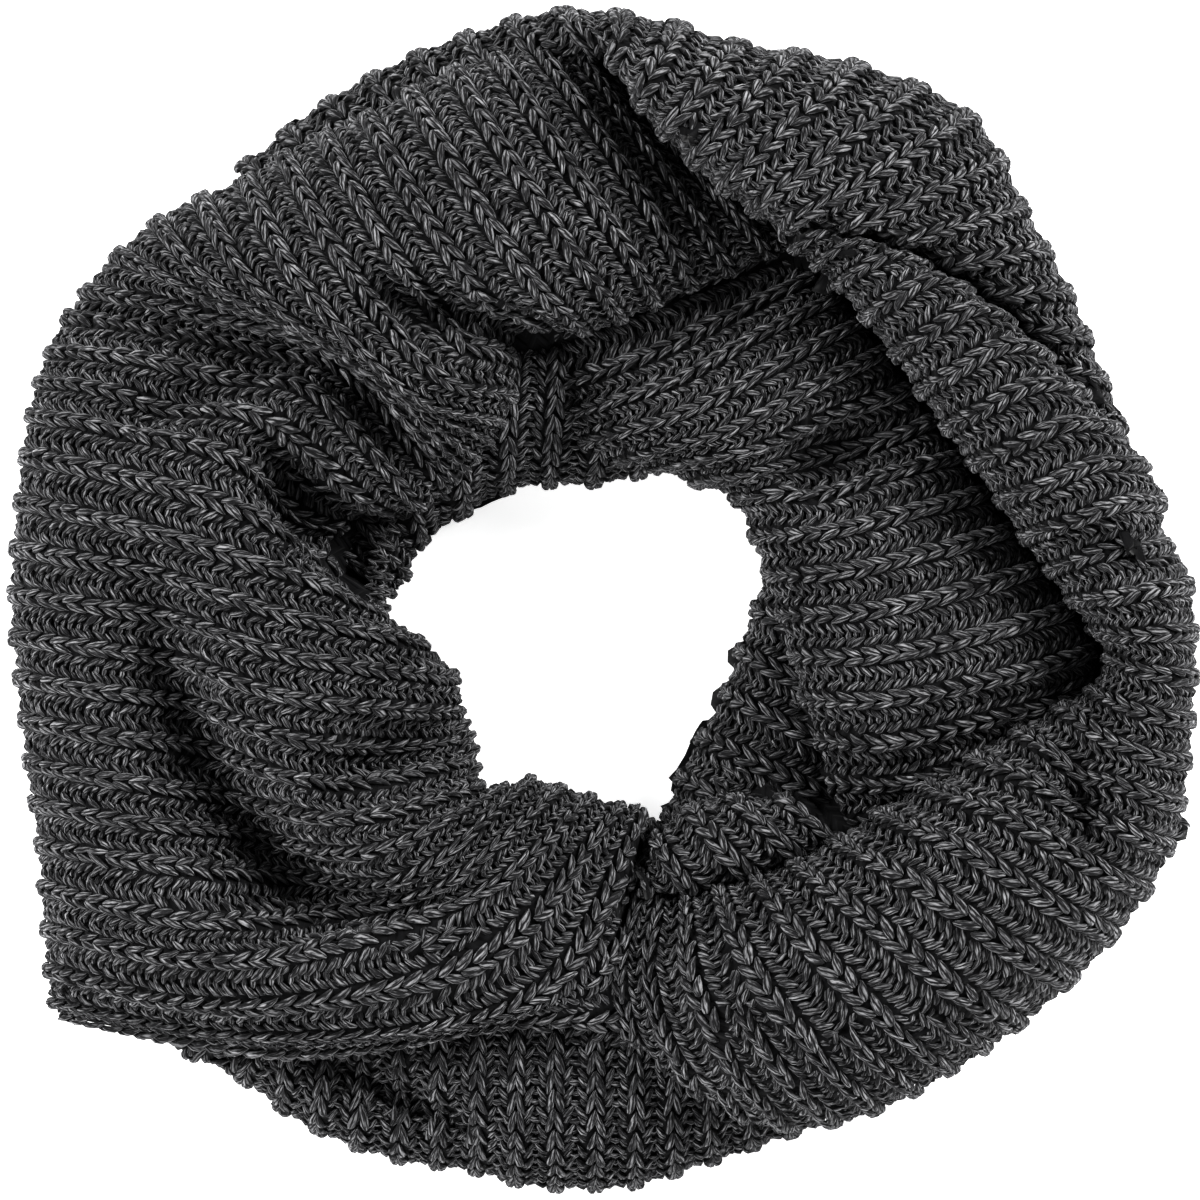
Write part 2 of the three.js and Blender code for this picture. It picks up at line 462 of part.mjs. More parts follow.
// Joins two equal grids of points into one closed body.
function closedWall(outside, inside, columns, rowsAcross, facing) {
  const vertices = [...outside, ...inside];
  const offset = outside.length;
  const triangles = [];
  const quad = (a, b, c, d) => {
    const faces = facing > 0 ? [[a, b, c], [a, c, d]] : [[a, c, b], [a, d, c]];
    triangles.push(...faces);
  };
  const at = (i, j) => i * rowsAcross + j;
  for (let i = 0; i + 1 < columns; i += 1) {
    for (let j = 0; j + 1 < rowsAcross; j += 1) {
      quad(at(i, j), at(i, j + 1), at(i + 1, j + 1), at(i + 1, j));
      quad(at(i, j) + offset, at(i + 1, j) + offset, at(i + 1, j + 1) + offset, at(i, j + 1) + offset);
    }
    const end = rowsAcross - 1;
    quad(at(i, 0), at(i + 1, 0), at(i + 1, 0) + offset, at(i, 0) + offset);
    quad(at(i, end), at(i, end) + offset, at(i + 1, end) + offset, at(i + 1, end));
  }
  for (let j = 0; j + 1 < rowsAcross; j += 1) {
    const end = columns - 1;
    quad(at(0, j), at(0, j) + offset, at(0, j + 1) + offset, at(0, j + 1));
    quad(at(end, j), at(end, j + 1), at(end, j + 1) + offset, at(end, j) + offset);
  }
  return solidFrom(vertices, triangles);
}

function solidFrom(points, triangles) {
  const vertProperties = new Float32Array(points.flatMap((p) => [p.x, p.y, p.z]));
  const triVerts = new Uint32Array(triangles.flat());
  return new wasm.Manifold(new wasm.Mesh({ numProp: 3, vertProperties, triVerts }));
}

// The hidden layers as one rounded ring, flat below, with two layers showing at its edges.
function hiddenRing() {
  const count = HIDDEN_RING.length * SECTIONS_PER_ROW;
  const wrapped = [-1, 0, 1].flatMap((lap) => HIDDEN_RING.map((row) => ({
    ...row, angle: row.angle + lap * FULL_TURN })));
  const knots = wrapped.map((row) => row.angle);
  const points = [];
  let around = 0;
  for (let i = 0; i < count; i += 1) {
    const angle = (FULL_TURN * i) / count;
    const number = (key) => cubicThrough(knots, wrapped.map((row) => row[key]), angle);
    const [inner, outer, top] = [number('inner'), number('outer'), number('top')];
    const edge = (radius, way) => [
      ...LAYERED_EDGE.map(({ up, back }) => [
        radius - way * LAYER_BULGE * back,
        LAYER_HEIGHT * up,
      ]),
      [radius - way * HIDDEN_SHOULDER, top - LAYER_BULGE],
    ];
    const crest = [[outer - HIDDEN_SHOULDER * 2, top], [inner + HIDDEN_SHOULDER * 2, top]];
    const profile = [...edge(outer, 1), ...crest, ...edge(inner, -1).reverse()];
    around = profile.length;
    const radians = THREE.MathUtils.degToRad(angle);
    for (const [radius, z] of profile) {
      points.push(new THREE.Vector3(
        RING_CENTRE[0] + radius * Math.cos(radians),
        RING_CENTRE[1] + radius * Math.sin(radians),
        z,
      ));
    }
  }
  const triangles = [];
  for (let i = 0; i < count; i += 1) {
    for (let j = 0; j < around; j += 1) {
      const a = i * around + j;
      const b = i * around + ((j + 1) % around);
      const c = ((i + 1) % count) * around + ((j + 1) % around);
      const d = ((i + 1) % count) * around + j;
      triangles.push([a, d, c], [a, c, b]);
    }
  }
  return solidFrom(points, triangles);
}

// What is left of a piece once the pieces above it have their room: its largest body, without
// the slivers of the cuts.
function clearOf(solid, above) {
  const cut = above.reduce((rest, grown) => rest.subtract(grown), solid);
  const bodies = cut.asOriginal().simplify(SLIVER).decompose();
  return bodies.reduce((best, body) => (body.volume() > best.volume() ? body : best));
}

function meshFrom(name, solid) {
  const { vertProperties, triVerts } = solid.getMesh();
  const geometry = new THREE.BufferGeometry();
  geometry.setAttribute('position', new THREE.BufferAttribute(new Float32Array(vertProperties), 3));
  geometry.setIndex(new THREE.BufferAttribute(new Uint32Array(triVerts), 1));
  const material = new THREE.MeshStandardMaterial({ color: CHARCOAL, roughness: 0.95, metalness: 0 });
  material.name = 'charcoal_marl_knit';
  const mesh = new THREE.Mesh(geometry, material);
  mesh.name = name;
  return mesh;
}

const scarf = new THREE.Group();
scarf.name = 'infinity_scarf';
const grownAbove = [];
for (const stretch of STRETCHES) {
  const solid = clearOf(stretchSolid(stretch, 0), grownAbove);
  scarf.add(meshFrom(stretch.name, solid));
  grownAbove.push(stretchSolid(stretch, GAP));
}
scarf.add(meshFrom('hidden_layers', clearOf(hiddenRing(), grownAbove)));

// The ring stands over the origin by its outline.
const middle = new THREE.Box3().setFromObject(scarf).getCenter(new THREE.Vector3());
scarf.position.set(-middle.x, -middle.y, 0);

export default scarf;
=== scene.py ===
from collections import namedtuple
from functools import partial

import bpy
import numpy as np
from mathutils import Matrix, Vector


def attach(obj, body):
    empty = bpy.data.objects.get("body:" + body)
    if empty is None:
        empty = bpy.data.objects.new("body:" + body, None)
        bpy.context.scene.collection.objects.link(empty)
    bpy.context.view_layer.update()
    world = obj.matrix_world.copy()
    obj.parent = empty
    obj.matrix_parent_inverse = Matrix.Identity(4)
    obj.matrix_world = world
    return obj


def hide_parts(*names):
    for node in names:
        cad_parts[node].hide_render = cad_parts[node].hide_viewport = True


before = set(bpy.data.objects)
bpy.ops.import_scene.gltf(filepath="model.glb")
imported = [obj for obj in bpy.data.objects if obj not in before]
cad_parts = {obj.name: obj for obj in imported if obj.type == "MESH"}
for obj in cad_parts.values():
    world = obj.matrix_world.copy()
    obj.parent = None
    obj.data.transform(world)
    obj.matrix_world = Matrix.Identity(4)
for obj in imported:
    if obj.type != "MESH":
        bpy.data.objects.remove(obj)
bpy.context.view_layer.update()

bl_info = {
    "name": "Chunky rib infinity scarf",
    "version": (1, 0, 0),
    "blender": (4, 5, 0),
    "location": "View3D > Sidebar > Scarf",
    "description": "Lays a ribbed infinity scarf as a ring, stitch by stitch",
    "category": "Add Mesh",
}

MM = 0.001

# The columns of the tables below, in millimetres, with y away from the viewer.
# A row of a stretch is a section along one knitted rib: four places of the rib in plan from the
# ring's outside to its hole, the crown's height and place along it, and the heights of its ends.
SECTION = (
    "rib", "outer_x", "outer_y", "near_x", "near_y", "far_x", "far_y", "inner_x", "inner_y",
    "crown", "peak", "outer_foot", "inner_foot",
)
FOLD = (
    "start_x", "start_y", "middle_x", "middle_y", "end_x", "end_y", "depth", "left", "right",
)
RING = ("angle", "inner", "outer", "top")


def table(columns, *rows):
    """Turns rows of numbers into an array for each named column."""
    values = np.array(rows, dtype=float)
    return {name: values[:, i] for i, name in enumerate(columns)}


LEFT_TURN = table(
    SECTION,
    (-1, -180, -139, -100, -152, -27, -141, 10, -141, 48, 0.5, 32, 42),
    (-0.5, -182, -137, -103, -149, -20, -137, 9, -113, 57, 0.5, 29, 42),
    (0, -184, -135, -107, -146, -23, -133, 15, -73, 57, 0.5, 26, 30),
    (1, -185, -124, -120, -135, -40, -120, 7, -69, 68, 0.5, 26, 24),
    (2, -186, -110, -126, -119, -53, -107, -3, -66, 79, 0.5, 26, 24),
    (3, -187, -96, -131, -106, -60, -97, -13, -63, 80, 0.5, 26, 24),
    (4, -188, -82, -126, -89, -67, -92, -23, -60, 80, 0.5, 26, 24),
    (5, -190, -68, -130, -77, -77, -83, -32, -62, 80, 0.5, 26, 24),
    (6, -192, -54, -133, -65, -85, -72, -38, -61, 80, 0.5, 26, 24),
    (8, -195, -26, -140, -35, -93, -47, -40, -45, 80, 0.5, 26, 24),
    (10, -197, 2, -140, -7, -100, -19, -48, -26, 80, 0.5, 26, 24),
    (12, -195, 33, -150, 23, -110, 11, -69, -2, 78, 0.5, 26, 26),
    (14, -191, 62, -153, 56, -112, 44, -68, 16, 74, 0.5, 26, 34),
    (16, -185, 83, -148, 80, -98, 71, -58, 29, 64, 0.5, 26, 36),
    (17, -179, 95, -146, 90, -90, 79, -51, 38, 52, 0.5, 26, 38),
)

TOP_TURN = table(
    SECTION,
    (17.4, -178, 96, -145, 91, -89, 80, -51, 38, 52, 0.5, 26, 38),
    (18.5, -168, 110, -135, 100, -83, 81, -46, 42, 64, 0.5, 26, 38),
    (20, -149, 127, -125, 102, -77, 77, -41, 47, 74, 0.5, 27, 38),
    (21, -134, 135, -113, 102, -72, 72, -37, 53, 78, 0.5, 28, 38),
    (22, -118, 141, -99, 105, -63, 68, -33, 59, 80, 0.5, 30, 38),
    (23, -106, 149, -85, 112, -55, 75, -28, 67, 80, 0.5, 32, 38),
    (25, -78, 162, -58, 127, -34, 94, -15, 84, 81, 0.5, 34, 40),
    (27, -49, 177, -31, 147, -8, 113, 7, 93, 78, 0.54, 36, 42),
    (29, -21, 185, -3, 159, 17, 129, 31, 104, 63, 0.6, 32, 42),
    (30, -9, 184, 9, 160, 29, 133, 43, 109, 55, 0.6, 32, 40),
    (31, 3, 176, 22, 154, 42, 132, 57, 115, 48, 0.6, 32, 38),
    (32, 17, 165, 36, 146, 54, 130, 67, 117, 42, 0.5, 32, 34),
)

RIGHT_TURN = table(
    SECTION,
    (0, 11, -147, 7, -133, 8, -115, 14, -96, 48, 0.5, 44, 40),
    (1, 33, -166, 22, -147, 16, -122, 20, -98, 52, 0.5, 32, 38),
    (2, 62, -177, 43, -153, 30, -125, 28, -99, 63, 0.5, 26, 38),
    (3, 93, -171, 73, -152, 50, -122, 39, -96, 73, 0.5, 26, 38),
    (5, 140, -143, 117, -128, 88, -105, 64, -87, 80, 0.55, 26, 38),
    (7, 172, -113, 152, -102, 120, -82, 93, -71, 82, 0.6, 26, 38),
    (9, 191, -83, 175, -77, 148, -62, 123, -52, 80, 0.5, 26, 36),
    (11, 197, -54, 183, -52, 167, -45, 152, -35, 76, 0.42, 26, 36),
    (12, 198, -40, 186, -39, 173, -35, 163, -30, 75, 0.4, 26, 36),
    (13, 199, -26, 188, -25, 178, -23, 169, -19, 76, 0.4, 26, 36),
    (14, 199, -11, 187, -11, 175, -12, 164, -10, 78, 0.4, 26, 36),
    (16, 195, 20, 179, 18, 162, 13, 149, 9, 80, 0.4, 26, 36),
    (18, 182, 45, 163, 45, 145, 37, 133, 33, 80, 0.42, 36, 38),
    (20, 161, 69, 143, 71, 127, 63, 115, 57, 80, 0.45, 50, 40),
    (22, 136, 93, 122, 96, 107, 87, 98, 81, 80, 0.5, 56, 44),
    (24, 108, 111, 97, 114, 86, 109, 79, 104, 79, 0.5, 62, 50),
    (26, 80, 120, 75, 121, 69, 119, 64, 116, 76, 0.5, 68, 62),
)

TOP_FLAP = table(
    SECTION,
    (0, -120, 147, -113, 143, -105, 137, -98, 132, 26, 0.6, 3, 22),
    (2, -92, 168, -85, 161, -78, 153, -72, 146, 27, 0.6, 3, 22),
    (4, -62, 184, -55, 176, -48, 167, -42, 159, 31, 0.6, 3, 22),
    (6, -30, 195, -25, 187, -20, 178, -15, 170, 42, 0.6, 3, 28),
    (7, -13, 198, -9, 192, -5, 187, -1, 182, 55, 0.7, 3, 36),
    (8, 7, 197, 7, 190, 6, 184, 4, 178, 67, 0.8, 3, 42),
    (9, 27, 193, 23, 184, 18, 174, 13, 164, 78, 0.85, 3, 46),
    (10, 47, 187, 39, 176, 31, 165, 21, 155, 82, 0.88, 3, 48),
    (12, 87, 180, 73, 166, 57, 151, 41, 136, 85, 0.9, 3, 48),
    (14, 125, 163, 106, 150, 84, 136, 62, 124, 83, 0.9, 3, 50),
    (16, 143, 132, 128, 127, 112, 122, 98, 118, 74, 0.8, 3, 50),
    (18, 158, 103, 148, 102, 138, 101, 128, 101, 62, 0.75, 3, 46),
    (20, 170, 73, 165, 74, 159, 75, 154, 76, 52, 0.7, 3, 40),
    (22, 181, 44, 178, 46, 175, 48, 172, 50, 40, 0.7, 3, 32),
)

INNER_RIGHT = table(
    SECTION,
    (0, 64, 118, 36, 108, 6, 97, -19, 88, 37, 0.6, 32, 22),
    (1, 72, 108, 45, 96, 15, 81, -17, 71, 46, 0.6, 34, 18),
    (2, 79, 101, 52, 88, 22, 72, -14, 61, 54, 0.6, 34, 18),
    (3, 87, 93, 62, 80, 30, 63, -7, 52, 58, 0.62, 32, 18),
    (4, 95, 83, 71, 71, 40, 55, 5, 46, 60, 0.64, 30, 18),
    (5, 104, 71, 80, 62, 52, 50, 18, 44, 60, 0.66, 28, 18),
    (6, 112, 60, 88, 52, 60, 43, 32, 39, 58, 0.68, 28, 18),
    (7, 121, 48, 97, 43, 70, 35, 45, 34, 58, 0.68, 28, 18),
    (8, 129, 36, 105, 30, 77, 23, 51, 21, 59, 0.68, 28, 24),
    (10, 147, 11, 120, 3, 87, -4, 60, -5, 60, 0.68, 28, 29),
    (12, 166, -17, 133, -26, 97, -33, 68, -33, 60, 0.7, 26, 31),
    (13, 165, -31, 135, -39, 101, -47, 73, -47, 52, 0.7, 26, 29),
    (14, 157, -43, 133, -52, 103, -61, 77, -62, 42, 0.66, 28, 27),
    (15, 146, -55, 125, -64, 103, -73, 82, -75, 34, 0.6, 26, 25),
)

INNER_ROLL = table(
    SECTION,
    (0, 15, -97, 15, -95, 15, -93, 15, -91, 48, 0.5, 44, 44),
    (1, 30, -98, 26, -92, 22, -86, 18, -79, 50, 0.5, 40, 34),
    (2, 50, -92, 43, -85, 36, -77, 30, -69, 52, 0.5, 40, 34),
    (3, 67, -86, 60, -80, 52, -73, 45, -66, 50, 0.5, 38, 34),
    (4, 80, -82, 74, -77, 67, -71, 61, -66, 46, 0.5, 36, 32),
)

HOLE_RIGHT = table(
    SECTION,
    (0, 84, 4, 74, 6, 64, 8, 56, 11, 30, 0.66, 14, 3),
    (1, 84, -18, 72, -13, 62, -8, 52, -3, 30, 0.66, 13, 3),
    (2, 84, -36, 70, -29, 58, -23, 47, -17, 31, 0.66, 12, 3),
    (3, 84, -52, 69, -45, 55, -38, 42, -31, 31, 0.66, 12, 3),
    (4, 80, -68, 64, -60, 49, -53, 34, -46, 30, 0.66, 12, 3),
    (5, 66, -80, 53, -73, 40, -66, 27, -60, 29, 0.66, 14, 3),
    (6, 48, -90, 39, -84, 31, -78, 22, -72, 30, 0.6, 20, 3),
)

HOLE_TOP = table(
    SECTION,
    (0, -88, 16, -82, 12, -76, 7, -70, 2, 26, 0.4, 20, 3),
    (1, -82, 30, -77, 23, -71, 15, -65, 8, 28, 0.4, 22, 3),
    (2, -67, 54, -64, 40, -62, 29, -60, 19, 32, 0.4, 26, 3),
    (3, -46, 72, -46, 58, -46, 40, -46, 29, 36, 0.4, 28, 3),
    (4, -29, 83, -30, 67, -31, 48, -31, 37, 37, 0.4, 28, 3),
    (5, -14, 84, -15, 68, -16, 50, -17, 39, 35, 0.4, 26, 3),
    (6, 2, 76, 1, 63, 0, 49, -2, 39, 32, 0.4, 24, 3),
    (7, 17, 64, 16, 56, 15, 49, 13, 42, 28, 0.4, 20, 3),
)

LOWER_FRONT = table(
    SECTION,
    (0, -137, -148, -134, -143, -130, -138, -126, -132, 26, 0.7, 3, 22),
    (1, -120, -162, -118, -153, -117, -144, -116, -135, 30, 0.7, 3, 26),
    (3, -95, -179, -94, -166, -93, -152, -93, -137, 35, 0.7, 3, 28),
    (5, -68, -189, -68, -173, -67, -155, -67, -134, 37, 0.7, 3, 28),
    (7, -42, -194, -41, -177, -41, -157, -40, -129, 38, 0.7, 3, 30),
    (9, -15, -198, -15, -178, -15, -157, -14, -124, 39, 0.7, 3, 30),
    (11, 12, -197, 12, -178, 12, -158, 11, -124, 38, 0.7, 3, 30),
    (13, 38, -189, 37, -173, 36, -157, 32, -132, 34, 0.7, 3, 28),
    (15, 65, -180, 62, -167, 57, -154, 53, -142, 26, 0.7, 3, 22),
)

LEFT_FOLDS = table(
    FOLD,
    (-154, 24, -129, -58, -74, -105, 30, 15, 16),
    (-126, -72, -84, -101, -26, -95, 26, 13, 13),
    (-112, 60, -90, 27, -40, -6, 30, 14, 10),
    (-96, -64, -70, -52, -28, -46, 23, 12, 12),
    (-174, 60, -140, 68, -96, 84, 12, 8, 9),
)

TOP_FOLDS = table(
    FOLD,
    (-82, 100, -46, 92, 0, 72, 22, 8, 10),
)

RIGHT_FOLDS = table(
    FOLD,
    (157, -42, 159, -64, 168, -94, 15, 10, 9),
    (150, 22, 174, 16, 202, 30, 13, 9, 9),
)

INNER_FOLDS = table(
    FOLD,
    (53, 34, 76, 48, 108, 62, 17, 11, 11),
)

FRONT_FOLDS = table(
    FOLD,
    (-102, -146, -70, -168, -30, -190, 14, 9, 9),
)

HIDDEN_RING = table(
    RING,
    (0, 68, 195, 32),
    (15, 68, 186, 34),
    (30, 68, 178, 34),
    (45, 68, 190, 34),
    (60, 68, 197, 36),
    (75, 62, 190, 36),
    (90, 60, 192, 34),
    (105, 60, 192, 34),
    (120, 62, 188, 36),
    (135, 66, 192, 36),
    (150, 70, 199, 36),
    (165, 70, 195, 36),
    (180, 68, 190, 38),
    (195, 58, 192, 38),
    (210, 53, 204, 38),
    (225, 56, 200, 36),
    (240, 68, 182, 32),
    (255, 61, 180, 30),
    (270, 63, 178, 30),
    (285, 70, 176, 30),
    (300, 68, 182, 34),
    (315, 64, 191, 36),
    (330, 68, 200, 34),
    (345, 70, 200, 32),
)


# The knit, in millimetres: one raised column of V stitches and one channel make a rib.
RIB_PITCH = 14.9
ROW_PITCH = 6.1
RELIEF_MIDDLE = -1.3
RELIEF_SWING = 1.2
RIDGE_DEPTH = 1.2
WALL = 4.0
TUCK = 5.0
LOWEST = 0.6
RIB_STEPS = 4
TURN_STEPS = 72
FLOOR_CLEARANCE = 0.4
# How far the steps over a section draw together at its feet, the length of one radian of it, and
# the cloth's unevenness: the size of each swell and how far apart its crests are.
TURN_EASE = 0.6
RADIAN_LENGTH = 40.0
SWELLS = ((0.7, 55.0), (0.45, 31.0), (0.3, 17.0))

# The ring's middle in plan is off the origin, which is the middle of its outline.
OUTLINE_SHIFT = np.array([-1.2, 0.15, 0.0])
RING_CENTRE = (-3.0, -8.0)
RING_RIBS = 84
RING_STEPS = 3
LAYER_HEIGHT = 14.0
LAYER_BULGE = 4.0
LAYER_ROUNDNESS = 0.6
EDGE_LAYERS = 2
SHOULDER = 40.0
# A rise of 1 is the top of the ring's edge and 2 is its crest. Strands cover the first of these
# spans, and the last numbers are the steps up the edge, over the crest and along the underside.
STITCHED_RISE = (0.04, 1.3)
STITCHED_STEPS = 48
EDGE_STEPS = 15
CREST_STEPS = 6
UNDERSIDE_STEPS = 14

# Where the strands of yarn lie in one rib. across is in ribs from the column's middle, tilt is in
# degrees from the rib's run, shift is in rows, and the rest is in millimetres.
STRAND = ("across", "tilt", "length", "thick", "lift", "shift")
COLUMN_STRANDS = table(
    STRAND,
    (-0.1, -19, 8.2, 2.5, 1.0, 0.0),
    (0.1, 19, 8.2, 2.5, 1.0, 0.05),
)
CHANNEL_STRANDS = table(
    STRAND,
    (0.325, -41, 6.6, 2.3, -0.4, 0.56),
    (0.675, 41, 6.6, 2.3, -0.4, 0.6),
    (0.5, 80, 4.8, 2.1, -1.0, 0.05),
)
BACK_STRANDS = table(
    STRAND,
    (0.28, -46, 6.0, 2.4, -1.2, 0.06),
    (0.72, 46, 6.0, 2.4, -1.2, 0.1),
    (0.5, 84, 4.8, 2.3, -1.5, 0.55),
)
# A strand's outline: its rings, with their place and girth as shares of its length and thickness.
OUTLINE = ("place", "girth")
LONG_OUTLINE = table(OUTLINE, (-0.42, 0.6), (-0.2, 0.98), (0.12, 0.95), (0.4, 0.52))
SHORT_OUTLINE = table(OUTLINE, (-0.36, 0.66), (0.0, 1.0), (0.36, 0.62))
# The layers of yarn from the raised columns down: the strands, their outline and their sides.
YARN_LAYERS = (
    (COLUMN_STRANDS, LONG_OUTLINE, 6),
    (CHANNEL_STRANDS, SHORT_OUTLINE, 5),
    (BACK_STRANDS, SHORT_OUTLINE, 4),
)
STRAND_HEIGHT = 0.82
END_DIP = 1.3
SHINGLE = 0.55
EDGE_MARGIN = 2.0
# Strands go this share of a rib past a stretch's ends. Where its ribs spread widely, two or four
# columns take the place of one: the nearest to their width over SPLIT_FROM knitted ribs.
END_REACH = 0.15
SPLITS = (1, 2, 4)
SPLIT_FROM = 1.15
LEAST_PITCH = 4.0
SQUEEZE = (0.55, 1.4)
RIB_PROBE = 0.1
# How much one strand differs from the next: tilt in degrees, length and thickness as shares, lift
# and place along the rib in millimetres, and place across it in ribs.
TILT_SPREAD = 4.0
LENGTH_SPREAD = 0.07
THICK_SPREAD = 0.06
LIFT_SPREAD = 0.2
ALONG_SPREAD = 0.25
ACROSS_SPREAD = 0.012
YARN_LENGTH = 60.0

# A raster in plan of how high the cloth lies, for leaving out the strands that nobody can see.
COVER_CELL = 4.0
COVER_CELLS = 120
COVER_REACH = 2
COVER_DEPTH = 7.0
PRESSED = 7.0

# The yarn's plies: how far they turn in a millimetre, how deep the line between them is, and the
# scale of the fibres along and across a strand and from one strand to the next. The ground's
# fibres go by ribs and rows.
PLY_TWIST = 0.11
PLY_DEPTH = 0.5
YARN_FIBRES = (0.28, 2.2, 83.0)
GROUND_FIBRES = (7.0, 5.0, 1.0)

# The studio. A light is its name, its place and diameter in metres, and its power in watts.
LIGHTS = (
    ("softbox_right", (1.8, 1.0, 1.2), 1.2, 84.0),
    ("softbox_left", (-1.8, 0.5, 1.2), 1.2, 66.0),
    ("softbox_near", (-0.2, -2.0, 1.2), 1.2, 40.0),
)
AIR_LIGHT = 0.18
PHOTO_CONTRAST = 0.8
SENSOR_WIDTH = 36.0
CAMERA_REACH = 50.0
FRAMED_HEIGHT = 0.045

# A stretch: its sections and folds, how square its section is, whether its V's point in to the
# hole, the size of its stitches, and the seed of what makes its strands unlike.
Stretch = namedtuple("Stretch", "rows folds roundness points_in size seed")
STRETCHES = {
    "top_flap": Stretch(TOP_FLAP, None, 0.8, True, 1.12, 41),
    "right_turn": Stretch(RIGHT_TURN, RIGHT_FOLDS, 0.95, False, 1.0, 37),
    "top_turn": Stretch(TOP_TURN, TOP_FOLDS, 0.9, False, 1.0, 34),
    "left_turn": Stretch(LEFT_TURN, LEFT_FOLDS, 0.8, False, 1.0, 31),
    "inner_roll": Stretch(INNER_ROLL, None, 0.9, False, 1.0, 23),
    "inner_right": Stretch(INNER_RIGHT, INNER_FOLDS, 0.95, False, 1.0, 20),
    "hole_right": Stretch(HOLE_RIGHT, None, 0.8, False, 1.0, 17),
    "hole_top": Stretch(HOLE_TOP, None, 0.8, False, 1.0, 14),
    "lower_front": Stretch(LOWER_FRONT, FRONT_FOLDS, 0.75, True, 1.1, 11),
}
HIDDEN_SEED = 71
LAYER_SEEDS = 3
NO_TRIANGLES = np.zeros((0, 3), dtype=int)
LAID = {}


def cubic_through(knots, values, at):
    """A cubic through each row of values: Hermite steps whose slope at a knot is that of the
    line between its neighbours, going on straight past both ends."""
    knots = np.asarray(knots, dtype=float)
    slopes = np.empty_like(values)
    slopes[1:-1] = (values[2:] - values[:-2]) / (knots[2:] - knots[:-2])[:, None]
    slopes[0] = (values[1] - values[0]) / (knots[1] - knots[0])
    slopes[-1] = (values[-1] - values[-2]) / (knots[-1] - knots[-2])
    i = np.clip(np.searchsorted(knots, at, side="right") - 1, 0, len(knots) - 2)
    step = (knots[i + 1] - knots[i])[:, None]
    t = np.clip((at - knots[i])[:, None] / step, 0, 1)
    inside = (
        values[i] * (1 + 2 * t) * (1 - t) ** 2
        + values[i + 1] * t * t * (3 - 2 * t)
        + step * (slopes[i] * t * (1 - t) ** 2 - slopes[i + 1] * t * t * (1 - t))
    )
    before = np.minimum(at - knots[0], 0)[:, None] * slopes[0]
    after = np.maximum(at - knots[-1], 0)[:, None] * slopes[-1]
    return inside + before + after


def plain_stretch(rows, ribs, turns, roundness):
    """The smooth surface of a stretch. A rib's plan is a cubic through its four places, and its
    height two quarter superellipses, foot + (crown - foot) * sin(turn) ** roundness."""
    names = SECTION[1:]
    section = cubic_through(rows["rib"], np.stack([rows[n] for n in names], axis=1), ribs)
    path = section[:, :8].reshape(-1, 4, 2)
    crown, peak, outer_foot, inner_foot = (section[:, k, None] for k in range(8, 12))
    cosine = np.cos(turns)[None, :]
    reach = np.abs(cosine) ** roundness
    rise = np.maximum(np.sin(turns), 0)[None, :] ** roundness
    outside = cosine > 0
    along = np.where(outside, peak * (1 - reach), peak + (1 - peak) * reach)
    slopes = np.stack([
        3 * (path[:, 1] - path[:, 0]),
        1.5 * (path[:, 2] - path[:, 0]),
        1.5 * (path[:, 3] - path[:, 1]),
        3 * (path[:, 3] - path[:, 2]),
    ], axis=1)
    part = np.clip((along * 3).astype(int), 0, 2)
    t = (along * 3 - part)[..., None]
    row = np.arange(len(ribs))[:, None]
    plan = (
        path[row, part] * (1 + 2 * t) * (1 - t) ** 2
        + path[row, part + 1] * t * t * (3 - 2 * t)
        + (slopes[row, part] * t * (1 - t) ** 2 - slopes[row, part + 1] * t * t * (1 - t)) / 3
    )
    foot = np.where(outside, outer_foot, inner_foot)
    height = foot + (crown - foot) * rise
    return np.concatenate([plan, height[..., None]], axis=2)


def tucked(grid):
    """The grid with both feet turned in under it: a quarter circle inwards and down."""
    phi = np.radians([90.0, 60.0, 30.0])[None, :, None]
    ends = []
    for foot, beside in ((grid[:, 0], grid[:, 3]), (grid[:, -1], grid[:, -4])):
        inward = (beside - foot)[:, None, :] * [1, 1, 0]
        inward = inward / (np.linalg.norm(inward, axis=2, keepdims=True) + 1e-9)
        down = np.minimum(TUCK, np.maximum(foot[:, 2] - LOWEST, 0))[:, None, None]
        turn_in = inward * down * (1 - np.cos(phi)) - down * np.sin(phi) * [0, 0, 1]
        ends.append(foot[:, None, :] + turn_in)
    return np.concatenate([ends[0], grid, ends[1][:, ::-1]], axis=1)


def grid_normals(grid, facing=(0.0, 0.0, 1.0)):
    """Unit normals of a grid of points, by the cross of its two directions. In the middle of the
    grid they face the given way."""
    across = np.gradient(grid, axis=0)
    along = np.gradient(grid, axis=1)
    normal = np.cross(along, across)
    normal /= np.linalg.norm(normal, axis=2, keepdims=True) + 1e-12
    middle = normal[normal.shape[0] // 2, normal.shape[1] // 2]
    return normal * (1.0 if np.dot(middle, facing) > 0 else -1.0)


